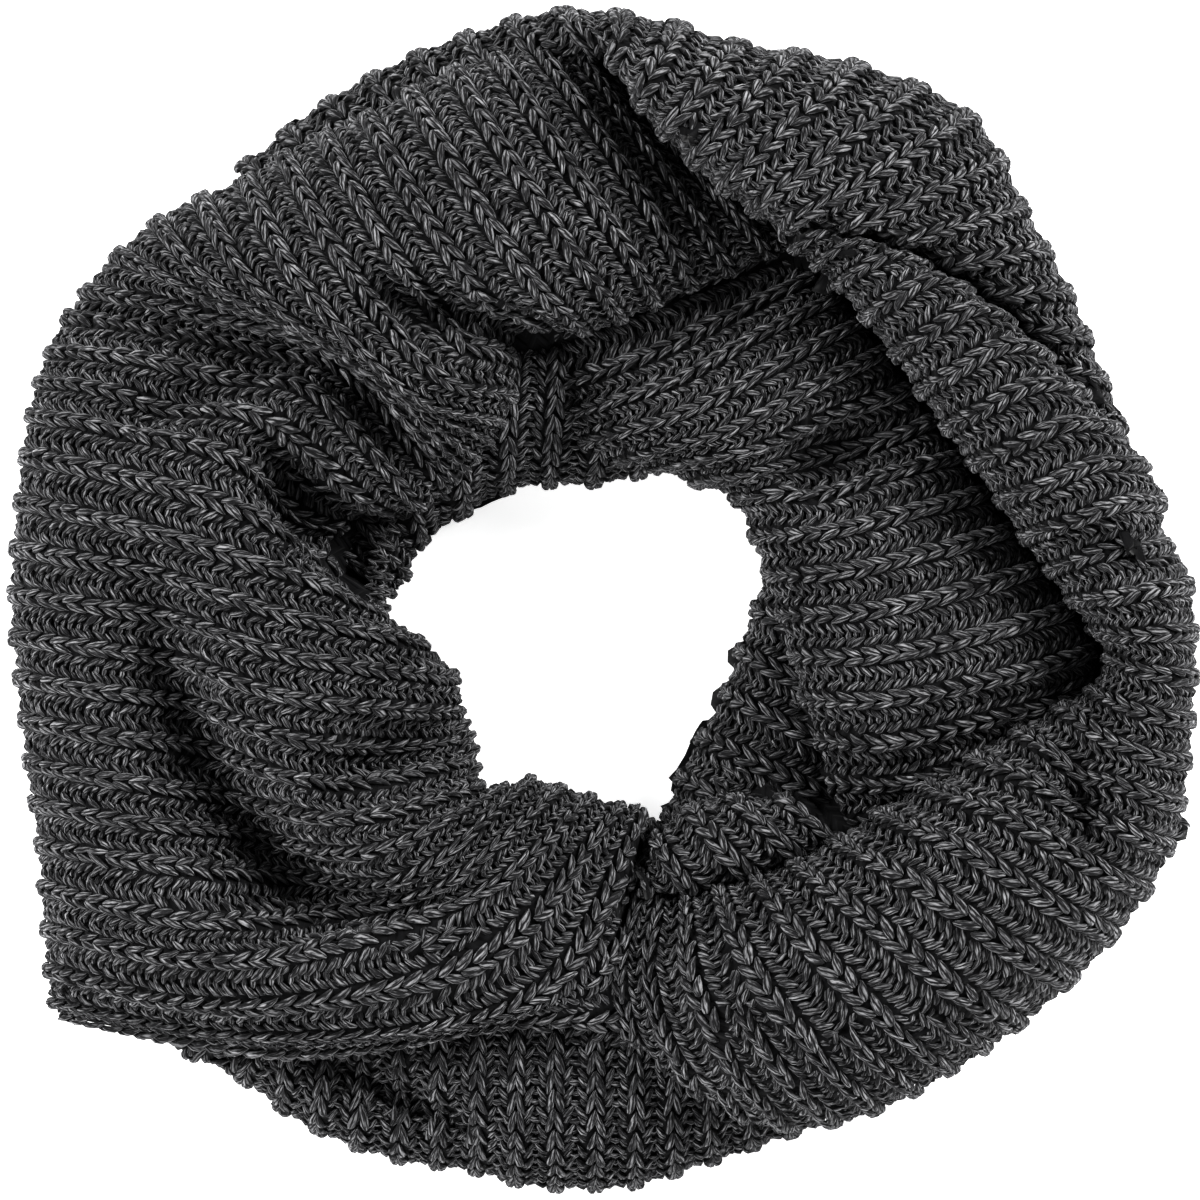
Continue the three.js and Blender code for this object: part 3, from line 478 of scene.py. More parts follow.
def fold_depth(folds, plan, steps=24):
    """How far the folds press in: depth * sin(pi t) * exp(-(distance / width) ** 2) from a bent
    line, t along it, with a width for each of its sides."""
    depth = np.zeros(plan.shape[:-1])
    if folds is None:
        return depth
    t = np.linspace(0, 1, steps + 1)[:, None]
    for k in range(len(folds["depth"])):
        start, middle, end = (
            np.array([folds[f"{place}_x"][k], folds[f"{place}_y"][k]])
            for place in ("start", "middle", "end")
        )
        bend = 2 * middle - (start + end) / 2
        line = (1 - t) ** 2 * start + 2 * t * (1 - t) * bend + t * t * end
        run = line[1:] - line[:-1]
        away = plan[..., None, :] - line[:-1]
        share = np.clip((away * run).sum(-1) / (run * run).sum(-1), 0, 1)
        off = away - share[..., None] * run
        distance = np.hypot(off[..., 0], off[..., 1])
        nearest = distance.argmin(axis=-1)[..., None]
        close = np.take_along_axis(distance, nearest, -1)[..., 0]
        side = np.take_along_axis(run[:, 0] * away[..., 1] - run[:, 1] * away[..., 0], nearest, -1)
        place = (nearest + np.take_along_axis(share, nearest, -1))[..., 0] / steps
        width = np.where(side[..., 0] > 0, folds["left"][k], folds["right"][k])
        depth += folds["depth"][k] * np.sin(np.pi * place) * np.exp(-((close / width) ** 2))
    return depth


def uneven(ribs, along, seed):
    """A gentle unevenness, in millimetres: a few sines of unlike length over the cloth."""
    draw = np.random.default_rng(seed)
    total = np.zeros(np.broadcast_shapes(ribs.shape, along.shape))
    for size, reach in SWELLS:
        turn = draw.uniform(0, 2 * np.pi, 3)
        tilt = draw.uniform(0.4, 1.0, 2)
        across = np.sin(ribs * RIB_PITCH * 2 * np.pi * tilt[0] / reach + turn[0])
        total = total + size * across * np.sin(along * 2 * np.pi * tilt[1] / reach + turn[1])
    return total


def between_columns(at, length, values):
    """Linear steps in every column at once: the columns' lengths are set end to end, so that one
    search finds each place."""
    columns, rows = length.shape
    apart = length.max() - length.min() + 1.0
    offset = np.arange(columns)[:, None] * apart
    ends = (length + offset).ravel()
    wanted = np.clip(at[None, :], length[:, :1], length[:, -1:]) + offset
    found = np.searchsorted(ends, wanted.ravel(), side="right").reshape(wanted.shape) - 1
    first = np.arange(columns)[:, None] * rows
    found = np.clip(found, first, first + rows - 2)
    share = ((wanted - ends[found]) / np.maximum(ends[found + 1] - ends[found], 1e-9))[..., None]
    flat = values.reshape(-1, values.shape[-1])
    return flat[found] * (1 - share) + flat[found + 1] * share


def run_along(points):
    """The length of each column of a grid up to each of its points."""
    spans = np.linalg.norm(np.diff(points, axis=1), axis=2)
    return np.concatenate([np.zeros((len(points), 1)), np.cumsum(spans, axis=1)], axis=1)


class Cloth:
    """A stretch as a grid of points, even along the rib, that can be read between its points: every
    STEP millimetres of a rib, and up to PAST columns beyond its first and last."""

    STEP = 1.0
    PAST = 1.5

    def __init__(self, ribs, dense, crown_column, facing=(0.0, 0.0, 1.0)):
        """Re-spaces each column of points to even steps of length, counted from the crown."""
        self.ribs = ribs
        self.dense = dense
        self.dense_normals = grid_normals(dense, facing)
        length = run_along(dense)
        self.length = length - length[:, crown_column][:, None]
        self.low = self.length[:, 0]
        self.high = self.length[:, -1]
        self.start = np.floor(self.low.min() / self.STEP) * self.STEP
        count = int(np.ceil((self.high.max() - self.start) / self.STEP)) + 1
        along = self.start + self.STEP * np.arange(count)
        self.points = between_columns(along, self.length, dense)
        self.normals = between_columns(along, self.length, self.dense_normals)

    def read(self, ribs, along):
        """Points and normals at rib numbers and lengths, by two-way linear steps, which go on
        straight a little way past the first and last rib."""
        u = (ribs - self.ribs[0]) / (self.ribs[1] - self.ribs[0])
        v = (along - self.start) / self.STEP
        u = np.clip(u, -self.PAST, self.points.shape[0] - 1 + self.PAST)
        v = np.clip(v, 0, self.points.shape[1] - 1.001)
        i = np.clip(u.astype(int), 0, self.points.shape[0] - 2)
        j = v.astype(int)
        a, b = (u - i)[..., None], (v - j)[..., None]
        points, normals = (
            grid[i, j] * (1 - a) * (1 - b) + grid[i + 1, j] * a * (1 - b)
            + grid[i, j + 1] * (1 - a) * b + grid[i + 1, j + 1] * a * b
            for grid in (self.points, self.normals)
        )
        return points, normals / (np.linalg.norm(normals, axis=-1, keepdims=True) + 1e-12)

    def reach(self, ribs):
        """The lowest and highest length of the cloth at rib numbers."""
        return np.interp(ribs, self.ribs, self.low), np.interp(ribs, self.ribs, self.high)


def stretch_cloth(name, seed):
    """The folded surface of a stretch, ready to be read."""
    made = STRETCHES[name]
    first, last = made.rows["rib"][[0, -1]]
    ribs = np.linspace(first, last, int(round((last - first) * RIB_STEPS)) + 1)
    even = np.linspace(0, 1, TURN_STEPS + 1)
    eased = (1 - np.cos(np.pi * even)) / 2
    turns = np.pi * (TURN_EASE * eased + (1 - TURN_EASE) * even)
    plain = plain_stretch(made.rows, ribs, turns, made.roundness)
    normals = grid_normals(plain)
    pressed = fold_depth(made.folds, plain[..., :2])
    rough = uneven(ribs[:, None], turns[None, :] * RADIAN_LENGTH, seed) * np.sin(turns)[None, :]
    folded = plain + normals * (rough - pressed)[..., None]
    return Cloth(ribs, tucked(folded) + OUTLINE_SHIFT, TURN_STEPS // 2 + 3)


def ring_profile(angle, outer, rise, inset):
    """A place on the hidden layers: the edge's radius, less how far the place lies in from it. Up
    the edge that is LAYER_BULGE * (1 - abs(sin(pi layer)) ** LAYER_ROUNDNESS), and from there to
    the crest it is a quarter ellipse."""
    laps = np.concatenate([HIDDEN_RING["angle"] + lap * 360.0 for lap in (-1, 0, 1)])
    edge = np.tile(HIDDEN_RING["outer" if outer else "inner"], 3)
    top = np.tile(HIDDEN_RING["top"], 3)
    sizes = cubic_through(laps, np.stack([edge, top], axis=1), angle)
    radius, crest = sizes[:, :1], sizes[:, 1:]
    layer = np.minimum(rise, 1.0) * EDGE_LAYERS
    dent = LAYER_BULGE * (1 - np.abs(np.sin(np.pi * layer)) ** LAYER_ROUNDNESS)
    edge_top = LAYER_HEIGHT * EDGE_LAYERS
    lean = np.radians(90.0) * np.maximum(rise - 1.0, 0)
    inward = dent + np.where(rise > 1, (SHOULDER - LAYER_BULGE) * (1 - np.cos(lean)), 0)
    height = np.minimum(rise, 1.0) * edge_top + (crest - edge_top) * np.sin(lean)
    reach = radius - (1.0 if outer else -1.0) * (inward + inset)
    turn = np.radians(angle)[:, None]
    return np.stack([
        RING_CENTRE[0] + reach * np.cos(turn),
        RING_CENTRE[1] + reach * np.sin(turn),
        height + 0 * reach,
    ], axis=2)


def ring_cloth(outer):
    """The knitted edge of the hidden layers, outside or at the hole, up to where it turns in."""
    ribs = np.linspace(0, RING_RIBS, RING_RIBS * RIB_STEPS + 1)
    rise = np.linspace(*STITCHED_RISE, STITCHED_STEPS)[None, :]
    dense = ring_profile(ribs * 360.0 / RING_RIBS, outer, rise, 0.0) + OUTLINE_SHIFT
    middle = dense[dense.shape[0] // 2, dense.shape[1] // 2] - OUTLINE_SHIFT
    away = (middle - [*RING_CENTRE, middle[2]]) * (1.0 if outer else -1.0)
    return Cloth(ribs, dense, 0, away)


def laid_cloths():
    """Every stretch as cloth, by its name, made once."""
    if not LAID:
        for seed, name in enumerate(STRETCHES):
            LAID[name] = stretch_cloth(name, seed + 1)
    return LAID


def cell_of(points):
    """The cell of the plan's raster that each point is over."""
    cell = np.floor(points[..., :2] / COVER_CELL).astype(int) + COVER_CELLS // 2
    return cell[..., 0], cell[..., 1]


def cover_over(name, reach=COVER_REACH):
    """The height of the cloth that lies over each cell of the plan, apart from the named piece,
    lowered to the least within reach cells, so that an edge never counts as covered."""
    heights = np.full((COVER_CELLS, COVER_CELLS), -1.0)
    for other, cloth in laid_cloths().items():
        if other != name:
            np.maximum.at(heights, cell_of(cloth.points), cloth.points[..., 2])
    least = heights.copy()
    for i in range(-reach, reach + 1):
        for j in range(-reach, reach + 1):
            least = np.minimum(least, np.roll(heights, (i, j), axis=(0, 1)))
    return least


def strand_centres(cloth, kinds, row_pitch, points_in, split):
    """The rib number, length and kind of every strand: each kind repeats once in a share of a
    rib, one over split, and once in a row. Those past an edge of the cloth are left out."""
    first, last = np.ceil(cloth.ribs[0]), np.floor(cloth.ribs[-1])
    rib = np.arange(first - 1, last + 1, 1 / split)
    lowest, highest = cloth.low.min() / row_pitch, cloth.high.max() / row_pitch
    row = np.arange(np.floor(lowest), np.ceil(highest) + 1)
    kind = np.arange(len(kinds["across"]))
    rib, row, kind = (part.ravel() for part in np.meshgrid(rib, row, kind, indexing="ij"))
    way = -1.0 if points_in else 1.0
    u = rib + kinds["across"][kind] / split
    s = (row + way * kinds["shift"][kind]) * row_pitch
    low, high = cloth.reach(u)
    inside = (u > cloth.ribs[0] - END_REACH) & (u < cloth.ribs[-1] + END_REACH)
    inside &= (s > low + EDGE_MARGIN) & (s < high - EDGE_MARGIN)
    return u[inside], s[inside], kind[inside]


def local_frame(cloth, u, s):
    """How the cloth runs at each place: the millimetres across for one rib, and how far a step
    of one rib also leans along the rib, both in the cloth's own plane."""
    here, normal = cloth.read(u, s)
    beyond, _ = cloth.read(u + RIB_PROBE, s)
    before, _ = cloth.read(u - RIB_PROBE, s)
    ahead, _ = cloth.read(u, s + cloth.STEP)
    rib_run = (beyond - before) / (2 * RIB_PROBE)
    along = ahead - here
    along /= np.linalg.norm(along, axis=-1, keepdims=True) + 1e-9
    across = np.cross(normal, along)
    lean = (rib_run * along).sum(-1)
    pitch = np.abs((rib_run * across).sum(-1))
    return here, np.clip(pitch, LEAST_PITCH, None), np.clip(lean, -RIB_PITCH, RIB_PITCH)


def strands(cloth, kinds, outline, sides, size, points_in, seed, cover, split):
    """Short strands of yarn on a cloth, where its ribs are about split times as wide as knitted.
    A strand is a closed spindle of rings between two tips, drawn flat on the cloth along its
    tilt, then carried up by its lift along the cloth's normal, with its ends dipping in and the
    next one over its far end: lift - END_DIP * (2 * place) ** 2 - SHINGLE * 2 * place."""
    draw = np.random.default_rng(seed)
    u, s, kind = strand_centres(cloth, kinds, ROW_PITCH * size, points_in, split)
    place, pitch, lean = local_frame(cloth, u, s)
    wide = 2.0 ** np.round(np.log2(pitch / (SPLIT_FROM * RIB_PITCH)))
    seen = place[:, 2] > cover[cell_of(place)] - COVER_DEPTH
    seen &= np.clip(wide, SPLITS[0], SPLITS[-1]) == split
    u, s, kind, pitch, lean = (part[seen] for part in (u, s, kind, pitch, lean))
    count = len(u)
    way = -1.0 if points_in else 1.0
    tilt = np.radians(way * kinds["tilt"][kind] + draw.normal(0, TILT_SPREAD, count))
    length = kinds["length"][kind] * size * draw.normal(1, LENGTH_SPREAD, count)
    thick = kinds["thick"][kind] * size * draw.normal(1, THICK_SPREAD, count)
    lift = kinds["lift"][kind] * size + draw.normal(0, LIFT_SPREAD, count)
    u = u + draw.normal(0, ACROSS_SPREAD, count)
    s = s + draw.normal(0, ALONG_SPREAD, count)
    around = np.radians(np.arange(sides) * 360.0 / sides)
    rings = len(outline["place"])
    share = np.concatenate([[-0.5], np.repeat(outline["place"], sides), [0.5]])
    girth = np.concatenate([[0], np.repeat(outline["girth"], sides), [0]])
    side = np.concatenate([[0], np.tile(np.cos(around), rings), [0]])
    up = np.concatenate([[0], np.tile(np.sin(around), rings), [0]])
    along = length[:, None] * share
    beside = thick[:, None] / 2 * girth * side
    rise = thick[:, None] / 2 * girth * up * STRAND_HEIGHT
    rise = rise + lift[:, None] - END_DIP * size * (2 * share) ** 2 - way * SHINGLE * 2 * share
    run, over = np.cos(tilt)[:, None], np.sin(tilt)[:, None]
    squeeze = np.clip(pitch / (split * RIB_PITCH), *SQUEEZE)[:, None]
    ribs_off = (over * along + run * beside) * squeeze / pitch[:, None]
    length_off = run * along - over * beside - ribs_off * lean[:, None]
    points, normals = cloth.read(u[:, None] + ribs_off, s[:, None] + length_off)
    points = points + normals * rise[..., None]
    points[..., 2] = np.maximum(points[..., 2], FLOOR_CLEARANCE)
    yarn = np.stack([
        along + draw.uniform(0, YARN_LENGTH, count)[:, None],
        np.broadcast_to(side, along.shape),
        np.broadcast_to(draw.uniform(0, 1, count)[:, None], along.shape),
    ], axis=2)
    per = 2 + rings * sides
    m = np.arange(sides)
    after = (m + 1) % sides
    bands = np.concatenate([
        np.stack([1 + k * sides + m, 1 + k * sides + after,
                  1 + (k + 1) * sides + after, 1 + (k + 1) * sides + m], axis=1)
        for k in range(rings - 1)
    ])
    last = 1 + (rings - 1) * sides
    caps = np.concatenate([
        np.stack([0 * m, 1 + after, 1 + m], axis=1),
        np.stack([0 * m + per - 1, last + m, last + after], axis=1),
    ])
    base = (np.arange(count) * per)[:, None, None]
    return (
        points.reshape(-1, 3), (bands + base).reshape(-1, 4), (caps + base).reshape(-1, 3),
        yarn.reshape(-1, 3),
    )


def all_strands(cloth, layers, size, points_in, seed, cover):
    """The strands of each layer of yarn on a cloth, from the raised columns down."""
    return [
        strands(cloth, kinds, outline, sides, size, points_in, seed + k, cover, split)
        for k, (kinds, outline, sides) in enumerate(layers)
        for split in SPLITS
    ]


def joined(parts):
    """Several sets of points, quads, triangles and yarn values as one."""
    points, quads, triangles, yarn = [], [], [], []
    offset = 0
    for part in parts:
        points.append(part[0])
        quads.append(part[1] + offset)
        triangles.append(part[2] + offset)
        yarn.append(part[3])
        offset += len(part[0])
    return tuple(np.concatenate(x) for x in (points, quads, triangles, yarn))


def grid_quads(columns, rows, closed=False):
    """The quads of a grid of points that is stored column by column, open or closed both ways."""
    i = np.arange(columns if closed else columns - 1)
    j = np.arange(rows if closed else rows - 1)
    i, j = (part.ravel() for part in np.meshgrid(i, j, indexing="ij"))
    beyond, above = (i + 1) % columns, (j + 1) % rows
    here, there = i * rows, beyond * rows
    return np.stack([here + j, there + j, there + above, here + above], axis=1)


def outward(points, quads, triangles):
    """The faces turned so that the enclosed volume is positive."""
    fans = np.concatenate([quads[:, [0, 1, 2]], quads[:, [0, 2, 3]], triangles])
    a, b, c = (points[fans[:, k]] for k in range(3))
    volume = (a * np.cross(b, c)).sum()
    return (quads, triangles) if volume > 0 else (quads[:, ::-1], triangles[:, ::-1])


def mesh_piece(name, points, quads, triangles, attribute, values, material):
    """A mesh object in metres from points in millimetres, with one vector attribute."""
    mesh = bpy.data.meshes.new(name)
    corners = np.concatenate([quads.ravel(), triangles.ravel()]).astype(np.int32)
    sizes = np.concatenate([np.full(len(quads), 4), np.full(len(triangles), 3)])
    starts = np.concatenate([[0], np.cumsum(sizes)[:-1]]).astype(np.int32)
    mesh.vertices.add(len(points))
    mesh.vertices.foreach_set("co", (points * MM).astype(np.float32).ravel())
    mesh.loops.add(len(corners))
    mesh.loops.foreach_set("vertex_index", corners)
    mesh.polygons.add(len(starts))
    mesh.polygons.foreach_set("loop_start", starts)
    mesh.polygons.foreach_set("use_smooth", np.ones(len(starts), dtype=bool))
    mesh.attributes.new(attribute, "FLOAT_VECTOR", "POINT")
    mesh.attributes[attribute].data.foreach_set("vector", values.astype(np.float32).ravel())
    mesh.update(calc_edges=True)
    mesh.validate()
    mesh.materials.append(material)
    piece = bpy.data.objects.new(name, mesh)
    bpy.context.scene.collection.objects.link(piece)
    return piece


def relief(ribs):
    """How far the ground of the knit stands off the plain surface, by rib: a cosine."""
    return RELIEF_MIDDLE + RELIEF_SWING * np.cos(2 * np.pi * ribs)


def knitted(name, points, quads, ribs, length, material):
    """A ground cloth from a grid, with its ribs and rows for the material, and its thickness."""
    knit = np.stack(np.broadcast_arrays(ribs[:, None], length / ROW_PITCH, np.zeros((1, 1))), axis=2)
    piece = mesh_piece(
        name, points.reshape(-1, 3), quads, NO_TRIANGLES, "knit", knit.reshape(-1, 3), material)
    wall = piece.modifiers.new("cloth_thickness", "SOLIDIFY")
    wall.thickness = WALL * MM
    wall.offset = -1.0
    return piece


def stretch_ground(name, cloth, material):
    """The ground cloth of a stretch: its dense grid, raised at each column and sunk between."""
    points = cloth.dense + cloth.dense_normals * relief(cloth.ribs)[:, None, None]
    points[..., 2] = np.maximum(points[..., 2], WALL + FLOOR_CLEARANCE)
    columns, rows = points.shape[:2]
    quads = grid_quads(columns, rows)
    a, b, c = (points.reshape(-1, 3)[quads[:, k]] for k in range(3))
    facing = (np.cross(b - a, c - a) * cloth.dense_normals.reshape(-1, 3)[quads[:, 0]]).sum()
    if facing < 0:
        quads = quads[:, ::-1]
    return knitted(name, points, quads, cloth.ribs, cloth.length, material)


def stitched(name, parts, material):
    """A piece of strands, with every layer's faces turned outwards."""
    parts = [(p, *outward(p, q, t), y) for p, q, t, y in parts]
    points, quads, triangles, yarn = joined(parts)
    return mesh_piece(name, points, quads, triangles, "yarn", yarn, material)


def stretch_stitches(name, stretch, cloth, material):
    """All the strands of a stretch: its raised columns and what lies in its channels."""
    made, cover = STRETCHES[stretch], cover_over(stretch)
    parts = all_strands(cloth, YARN_LAYERS, made.size, made.points_in, made.seed, cover)
    return stitched(name, parts, material)


def hidden_ground(name, material):
    """The hidden layers as one closed ring of cloth: up its outer edge, over the crest, down the
    hole's edge and back along the flat underside."""
    angle = np.linspace(0, 360, RING_RIBS * RING_STEPS, endpoint=False)
    ribs = angle * RING_RIBS / 360
    rise = np.concatenate([np.linspace(0, 1, EDGE_STEPS), np.linspace(1, 2, CREST_STEPS)[1:]])[None, :]
    ribbed = relief(ribs)[:, None] * np.clip(STITCHED_RISE[1] - rise, 0, 1)
    outer = ring_profile(angle, True, rise, -ribbed)
    inner = ring_profile(angle, False, rise, -ribbed)[:, ::-1]
    share = np.linspace(0, 1, UNDERSIDE_STEPS)[None, 1:-1, None]
    below = inner[:, -1:] * (1 - share) + outer[:, :1] * share
    points = np.concatenate([outer, inner, below], axis=1) + OUTLINE_SHIFT
    room = cover_over("", 0)[cell_of(points)] - PRESSED
    height = points[..., 2]
    pressed = np.where(room > EDGE_LAYERS * LAYER_HEIGHT / 2, np.minimum(height, room), height)
    points[..., 2] = np.maximum(pressed, 0.0)
    columns, rows = points.shape[:2]
    quads, _ = outward(points.reshape(-1, 3), grid_quads(columns, rows, closed=True), NO_TRIANGLES)
    return knitted(name, points, quads, ribs, run_along(points), material)


def hidden_stitches(name, material):
    """The strands on both edges of the hidden layers."""
    cover = cover_over("")
    parts = []
    for k, outer in enumerate((True, False)):
        seed = HIDDEN_SEED + LAYER_SEEDS * k
        parts += all_strands(ring_cloth(outer), YARN_LAYERS[:2], 1.0, False, seed, cover)
    return stitched(name, parts, material)


def linear(hex_colour):
    """An sRGB hex value as linear red, green and blue."""
    parts = [((hex_colour >> shift) & 255) / 255 for shift in (16, 8, 0)]
    return tuple(c / 12.92 if c <= 0.04045 else ((c + 0.055) / 1.055) ** 2.4 for c in parts)


def add_node(tree, kind, values=(), links=(), **settings):
    """Adds one node, with its settings, its sockets' values and what is linked into them: a
    socket, or a node for its first output."""
    made = tree.nodes.new(kind)
    for name, value in settings.items():
        setattr(made, name, value)
    for socket, value in values:
        made.inputs[socket].default_value = value
    for socket, source in links:
        output = source.outputs[0] if isinstance(source, bpy.types.Node) else source
        tree.links.new(output, made.inputs[socket])
    return made


def new_material(name):
    """An empty node material, and add_node for it."""
    material = bpy.data.materials.new(name)
    material.use_nodes = True
    material.node_tree.nodes.clear()
    return material, partial(add_node, material.node_tree)


def marl_yarn(colours):
    """Spun wool and acrylic yarn of two plies, dark grey with paler fibres: each strand shows its
    plies as soft bands with a painted shade line between them, and short pale streaks along them."""
    material, add = new_material("spun_marl_wool_yarn")
    yarn = add("ShaderNodeAttribute", attribute_name="yarn").outputs["Vector"]
    split = add("ShaderNodeSeparateXYZ", links=[(0, yarn)])
    along, side, chance = split.outputs
    twist = add("ShaderNodeMath", [(1, PLY_TWIST)], [(0, along)], operation="MULTIPLY")
    turned = add("ShaderNodeMath", links=[(0, side), (1, twist)], operation="ADD")
    phase = add("ShaderNodeMath", [(1, 2 * np.pi)], [(0, turned)], operation="MULTIPLY")
    wave = add("ShaderNodeMath", links=[(0, phase)], operation="SINE")
    ply = add("ShaderNodeMapRange", [("From Min", -1.0), ("From Max", 0.1)], [("Value", wave)],
        interpolation_type="SMOOTHSTEP")
    place = add("ShaderNodeVectorMath", [(1, YARN_FIBRES)], [(0, yarn)], operation="MULTIPLY")
    fibres = add("ShaderNodeTexNoise", [("Scale", 1.0), ("Detail", 2.0), ("Roughness", 0.6)],
        [("Vector", place)])
    streak = add("ShaderNodeMapRange", [("From Min", 0.4), ("From Max", 0.66)],
        [("Value", fibres.outputs["Fac"])], interpolation_type="SMOOTHSTEP")
    lightness = add("ShaderNodeMapRange", [("To Min", 0.5), ("To Max", 1.0)], [("Value", chance)])
    shown = add("ShaderNodeMath", links=[(0, streak), (1, ply)], operation="MULTIPLY")
    shown = add("ShaderNodeMath", links=[(0, shown), (1, lightness)], operation="MULTIPLY")
    # Painted shade: the groove between the plies takes the gap shade, and the pale streaks fade out in
    # it.
    groove_shade = add("ShaderNodeMix", [("A", (*colours.gap, 1.0)), ("B", (*colours.dark, 1.0))],
        [("Factor", ply)], data_type="RGBA")
    colour = add("ShaderNodeMix", [("B", (*colours.pale, 1.0))],
        [("Factor", shown), ("A", groove_shade.outputs["Result"])], data_type="RGBA")
    height = add("ShaderNodeMath", [(1, 0.35)], [(0, fibres.outputs["Fac"]), (2, ply)],
        operation="MULTIPLY_ADD")
    bump = add("ShaderNodeBump", [("Strength", 0.8), ("Distance", PLY_DEPTH * MM)],
        [("Height", height)])
    shader = add("ShaderNodeBsdfPrincipled",
        [("Roughness", 0.85), ("Sheen Weight", 0.35), ("Sheen Roughness", 0.45), ("IOR", 1.5),
         ("Specular IOR Level", 0.25), ("Sheen Tint", (*colours.fuzz, 1.0))],
        [("Base Color", colour.outputs["Result"]), ("Normal", bump)])
    add("ShaderNodeOutputMaterial", links=[(0, shader)])
    return material


def knit_ground(colours):
    """The inside of the knit, behind the strands: the same yarn with painted shade, darkest between
    its ridges, with the rows of V's as soft ridges that lean both ways from each column."""
    material, add = new_material("rib_knit_ground_painted_shade")
    knit = add("ShaderNodeAttribute", attribute_name="knit").outputs["Vector"]
    split = add("ShaderNodeSeparateXYZ", links=[(0, knit)])
    rib, row = split.outputs[:2]
    lean = add("ShaderNodeMath", [(1, 0.5)], [(0, rib)], operation="PINGPONG")
    slope = add("ShaderNodeMath", [(1, 2.0)], [(0, lean), (2, row)], operation="MULTIPLY_ADD")
    phase = add("ShaderNodeMath", [(1, 2 * np.pi)], [(0, slope)], operation="MULTIPLY")
    wave = add("ShaderNodeMath", links=[(0, phase)], operation="SINE")
    ridge = add("ShaderNodeMapRange", [("From Min", -0.6), ("From Max", 1.0)], [("Value", wave)],
        interpolation_type="SMOOTHSTEP")
    place = add("ShaderNodeVectorMath", [(1, GROUND_FIBRES)], [(0, knit)], operation="MULTIPLY")
    fibres = add("ShaderNodeTexNoise", [("Scale", 1.0), ("Detail", 3.0), ("Roughness", 0.65)],
        [("Vector", place)])
    shown = add("ShaderNodeMath", links=[(0, fibres.outputs["Fac"]), (1, ridge)], operation="MULTIPLY")
    # Painted shade: the colour runs from the gap shade to the dark fibres and is darkest between the V
    # ridges; the fibre noise in it is the yarn's own tone.
    colour = add("ShaderNodeMix", [("A", (*colours.gap, 1.0)), ("B", (*colours.dark, 1.0))],
        [("Factor", shown)], data_type="RGBA")
    bump = add("ShaderNodeBump", [("Strength", 0.7), ("Distance", RIDGE_DEPTH * MM)],
        [("Height", ridge)])
    shader = add("ShaderNodeBsdfPrincipled",
        [("Roughness", 0.95), ("Sheen Weight", 0.1), ("Specular IOR Level", 0.1)],
        [("Base Color", colour.outputs["Result"]), ("Normal", bump)])
    add("ShaderNodeOutputMaterial", links=[(0, shader)])
    return material


def white_floor():
    """Matt white paper over a light table: it glows a little from below, so that the shadows on
    it stay faint."""
    material, add = new_material("matt_white_paper")
    place = add("ShaderNodeTexCoord").outputs["Object"]
    grain = add("ShaderNodeTexNoise", [("Scale", 900.0), ("Detail", 2.0)], [("Vector", place)])
    tone = add("ShaderNodeMapRange", [("To Min", 0.93), ("To Max", 0.95)],
        [("Value", grain.outputs["Fac"])])
    shader = add("ShaderNodeBsdfPrincipled",
        [("Roughness", 1.0), ("Specular IOR Level", 0.0), ("Emission Color", (1.0, 1.0, 1.0, 1.0)),
         ("Emission Strength", 0.7)],
        [("Base Color", tone)])
    add("ShaderNodeOutputMaterial", links=[(0, shader)])
    return material


class SCARF_PG_yarn_colours(bpy.types.PropertyGroup):
    """The colours of the marl yarn, and the painted shade of its gaps."""

    # Painted shade: this darkest tone is painted in the grooves between the plies and on the ground
    # behind the stitches, where the knit lies in shadow.
    gap: bpy.props.FloatVectorProperty(
        name="Gaps", description="The yarn deep between its plies and behind the stitches",
        subtype="COLOR", size=3, min=0.0, max=1.0, default=linear(0x161617))
    dark: bpy.props.FloatVectorProperty(
        name="Dark fibres", description="The charcoal fibres of the marl",
        subtype="COLOR", size=3, min=0.0, max=1.0, default=linear(0x1D1D1F))
    pale: bpy.props.FloatVectorProperty(
        name="Pale fibres", description="The pale grey fibres of the marl",
        subtype="COLOR", size=3, min=0.0, max=1.0, default=linear(0xA2A2A4))
    fuzz: bpy.props.FloatVectorProperty(
        name="Fuzz", description="The fine halo of loose fibres at grazing edges",
        subtype="COLOR", size=3, min=0.0, max=1.0, default=linear(0xA8A8AA))


class SCARF_PG_studio(bpy.types.PropertyGroup):
    """The sizes of the studio round the scarf."""

    camera_height: bpy.props.FloatProperty(
        name="Camera height", description="How far above the floor the camera hangs",
        unit="LENGTH", default=3.2, min=1.0, max=10.0)
    framed_width: bpy.props.FloatProperty(
        name="Framed width", description="The width that the picture takes in, at FRAMED_HEIGHT",
        unit="LENGTH", default=0.4, min=0.2, max=2.0)
    floor_size: bpy.props.FloatProperty(
        name="Floor size", description="The side of the square white floor",
        unit="LENGTH", default=6.0, min=1.0, max=20.0)


def dressed(context, name):
    """Lays one stretch: its ground cloth, its strands, and what the frame has to know of them."""
    behind, yarn = shared_materials(context.scene.scarf_colours)
    cloth = laid_cloths()[name]
    ground = stretch_ground(f"{name}_cloth", cloth, behind)
    stitches = stretch_stitches(f"{name}_stitches", name, cloth, yarn)
    declared(ground, stitches, name)


def declared(ground, stitches, node):
    """Parents a pair of pieces to the root body and hides the part of model.glb that they stand for.
    """
    for piece in (ground, stitches):
        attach(piece, "root")
    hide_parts(node)


def shared_materials(colours):
    """The ground's material, with its painted shade, and the strands', made the first time they are
    asked for.
    """
    kept = bpy.data.materials
    return (
        kept.get("rib_knit_ground_painted_shade") or knit_ground(colours),
        kept.get("spun_marl_wool_yarn") or marl_yarn(colours),
    )


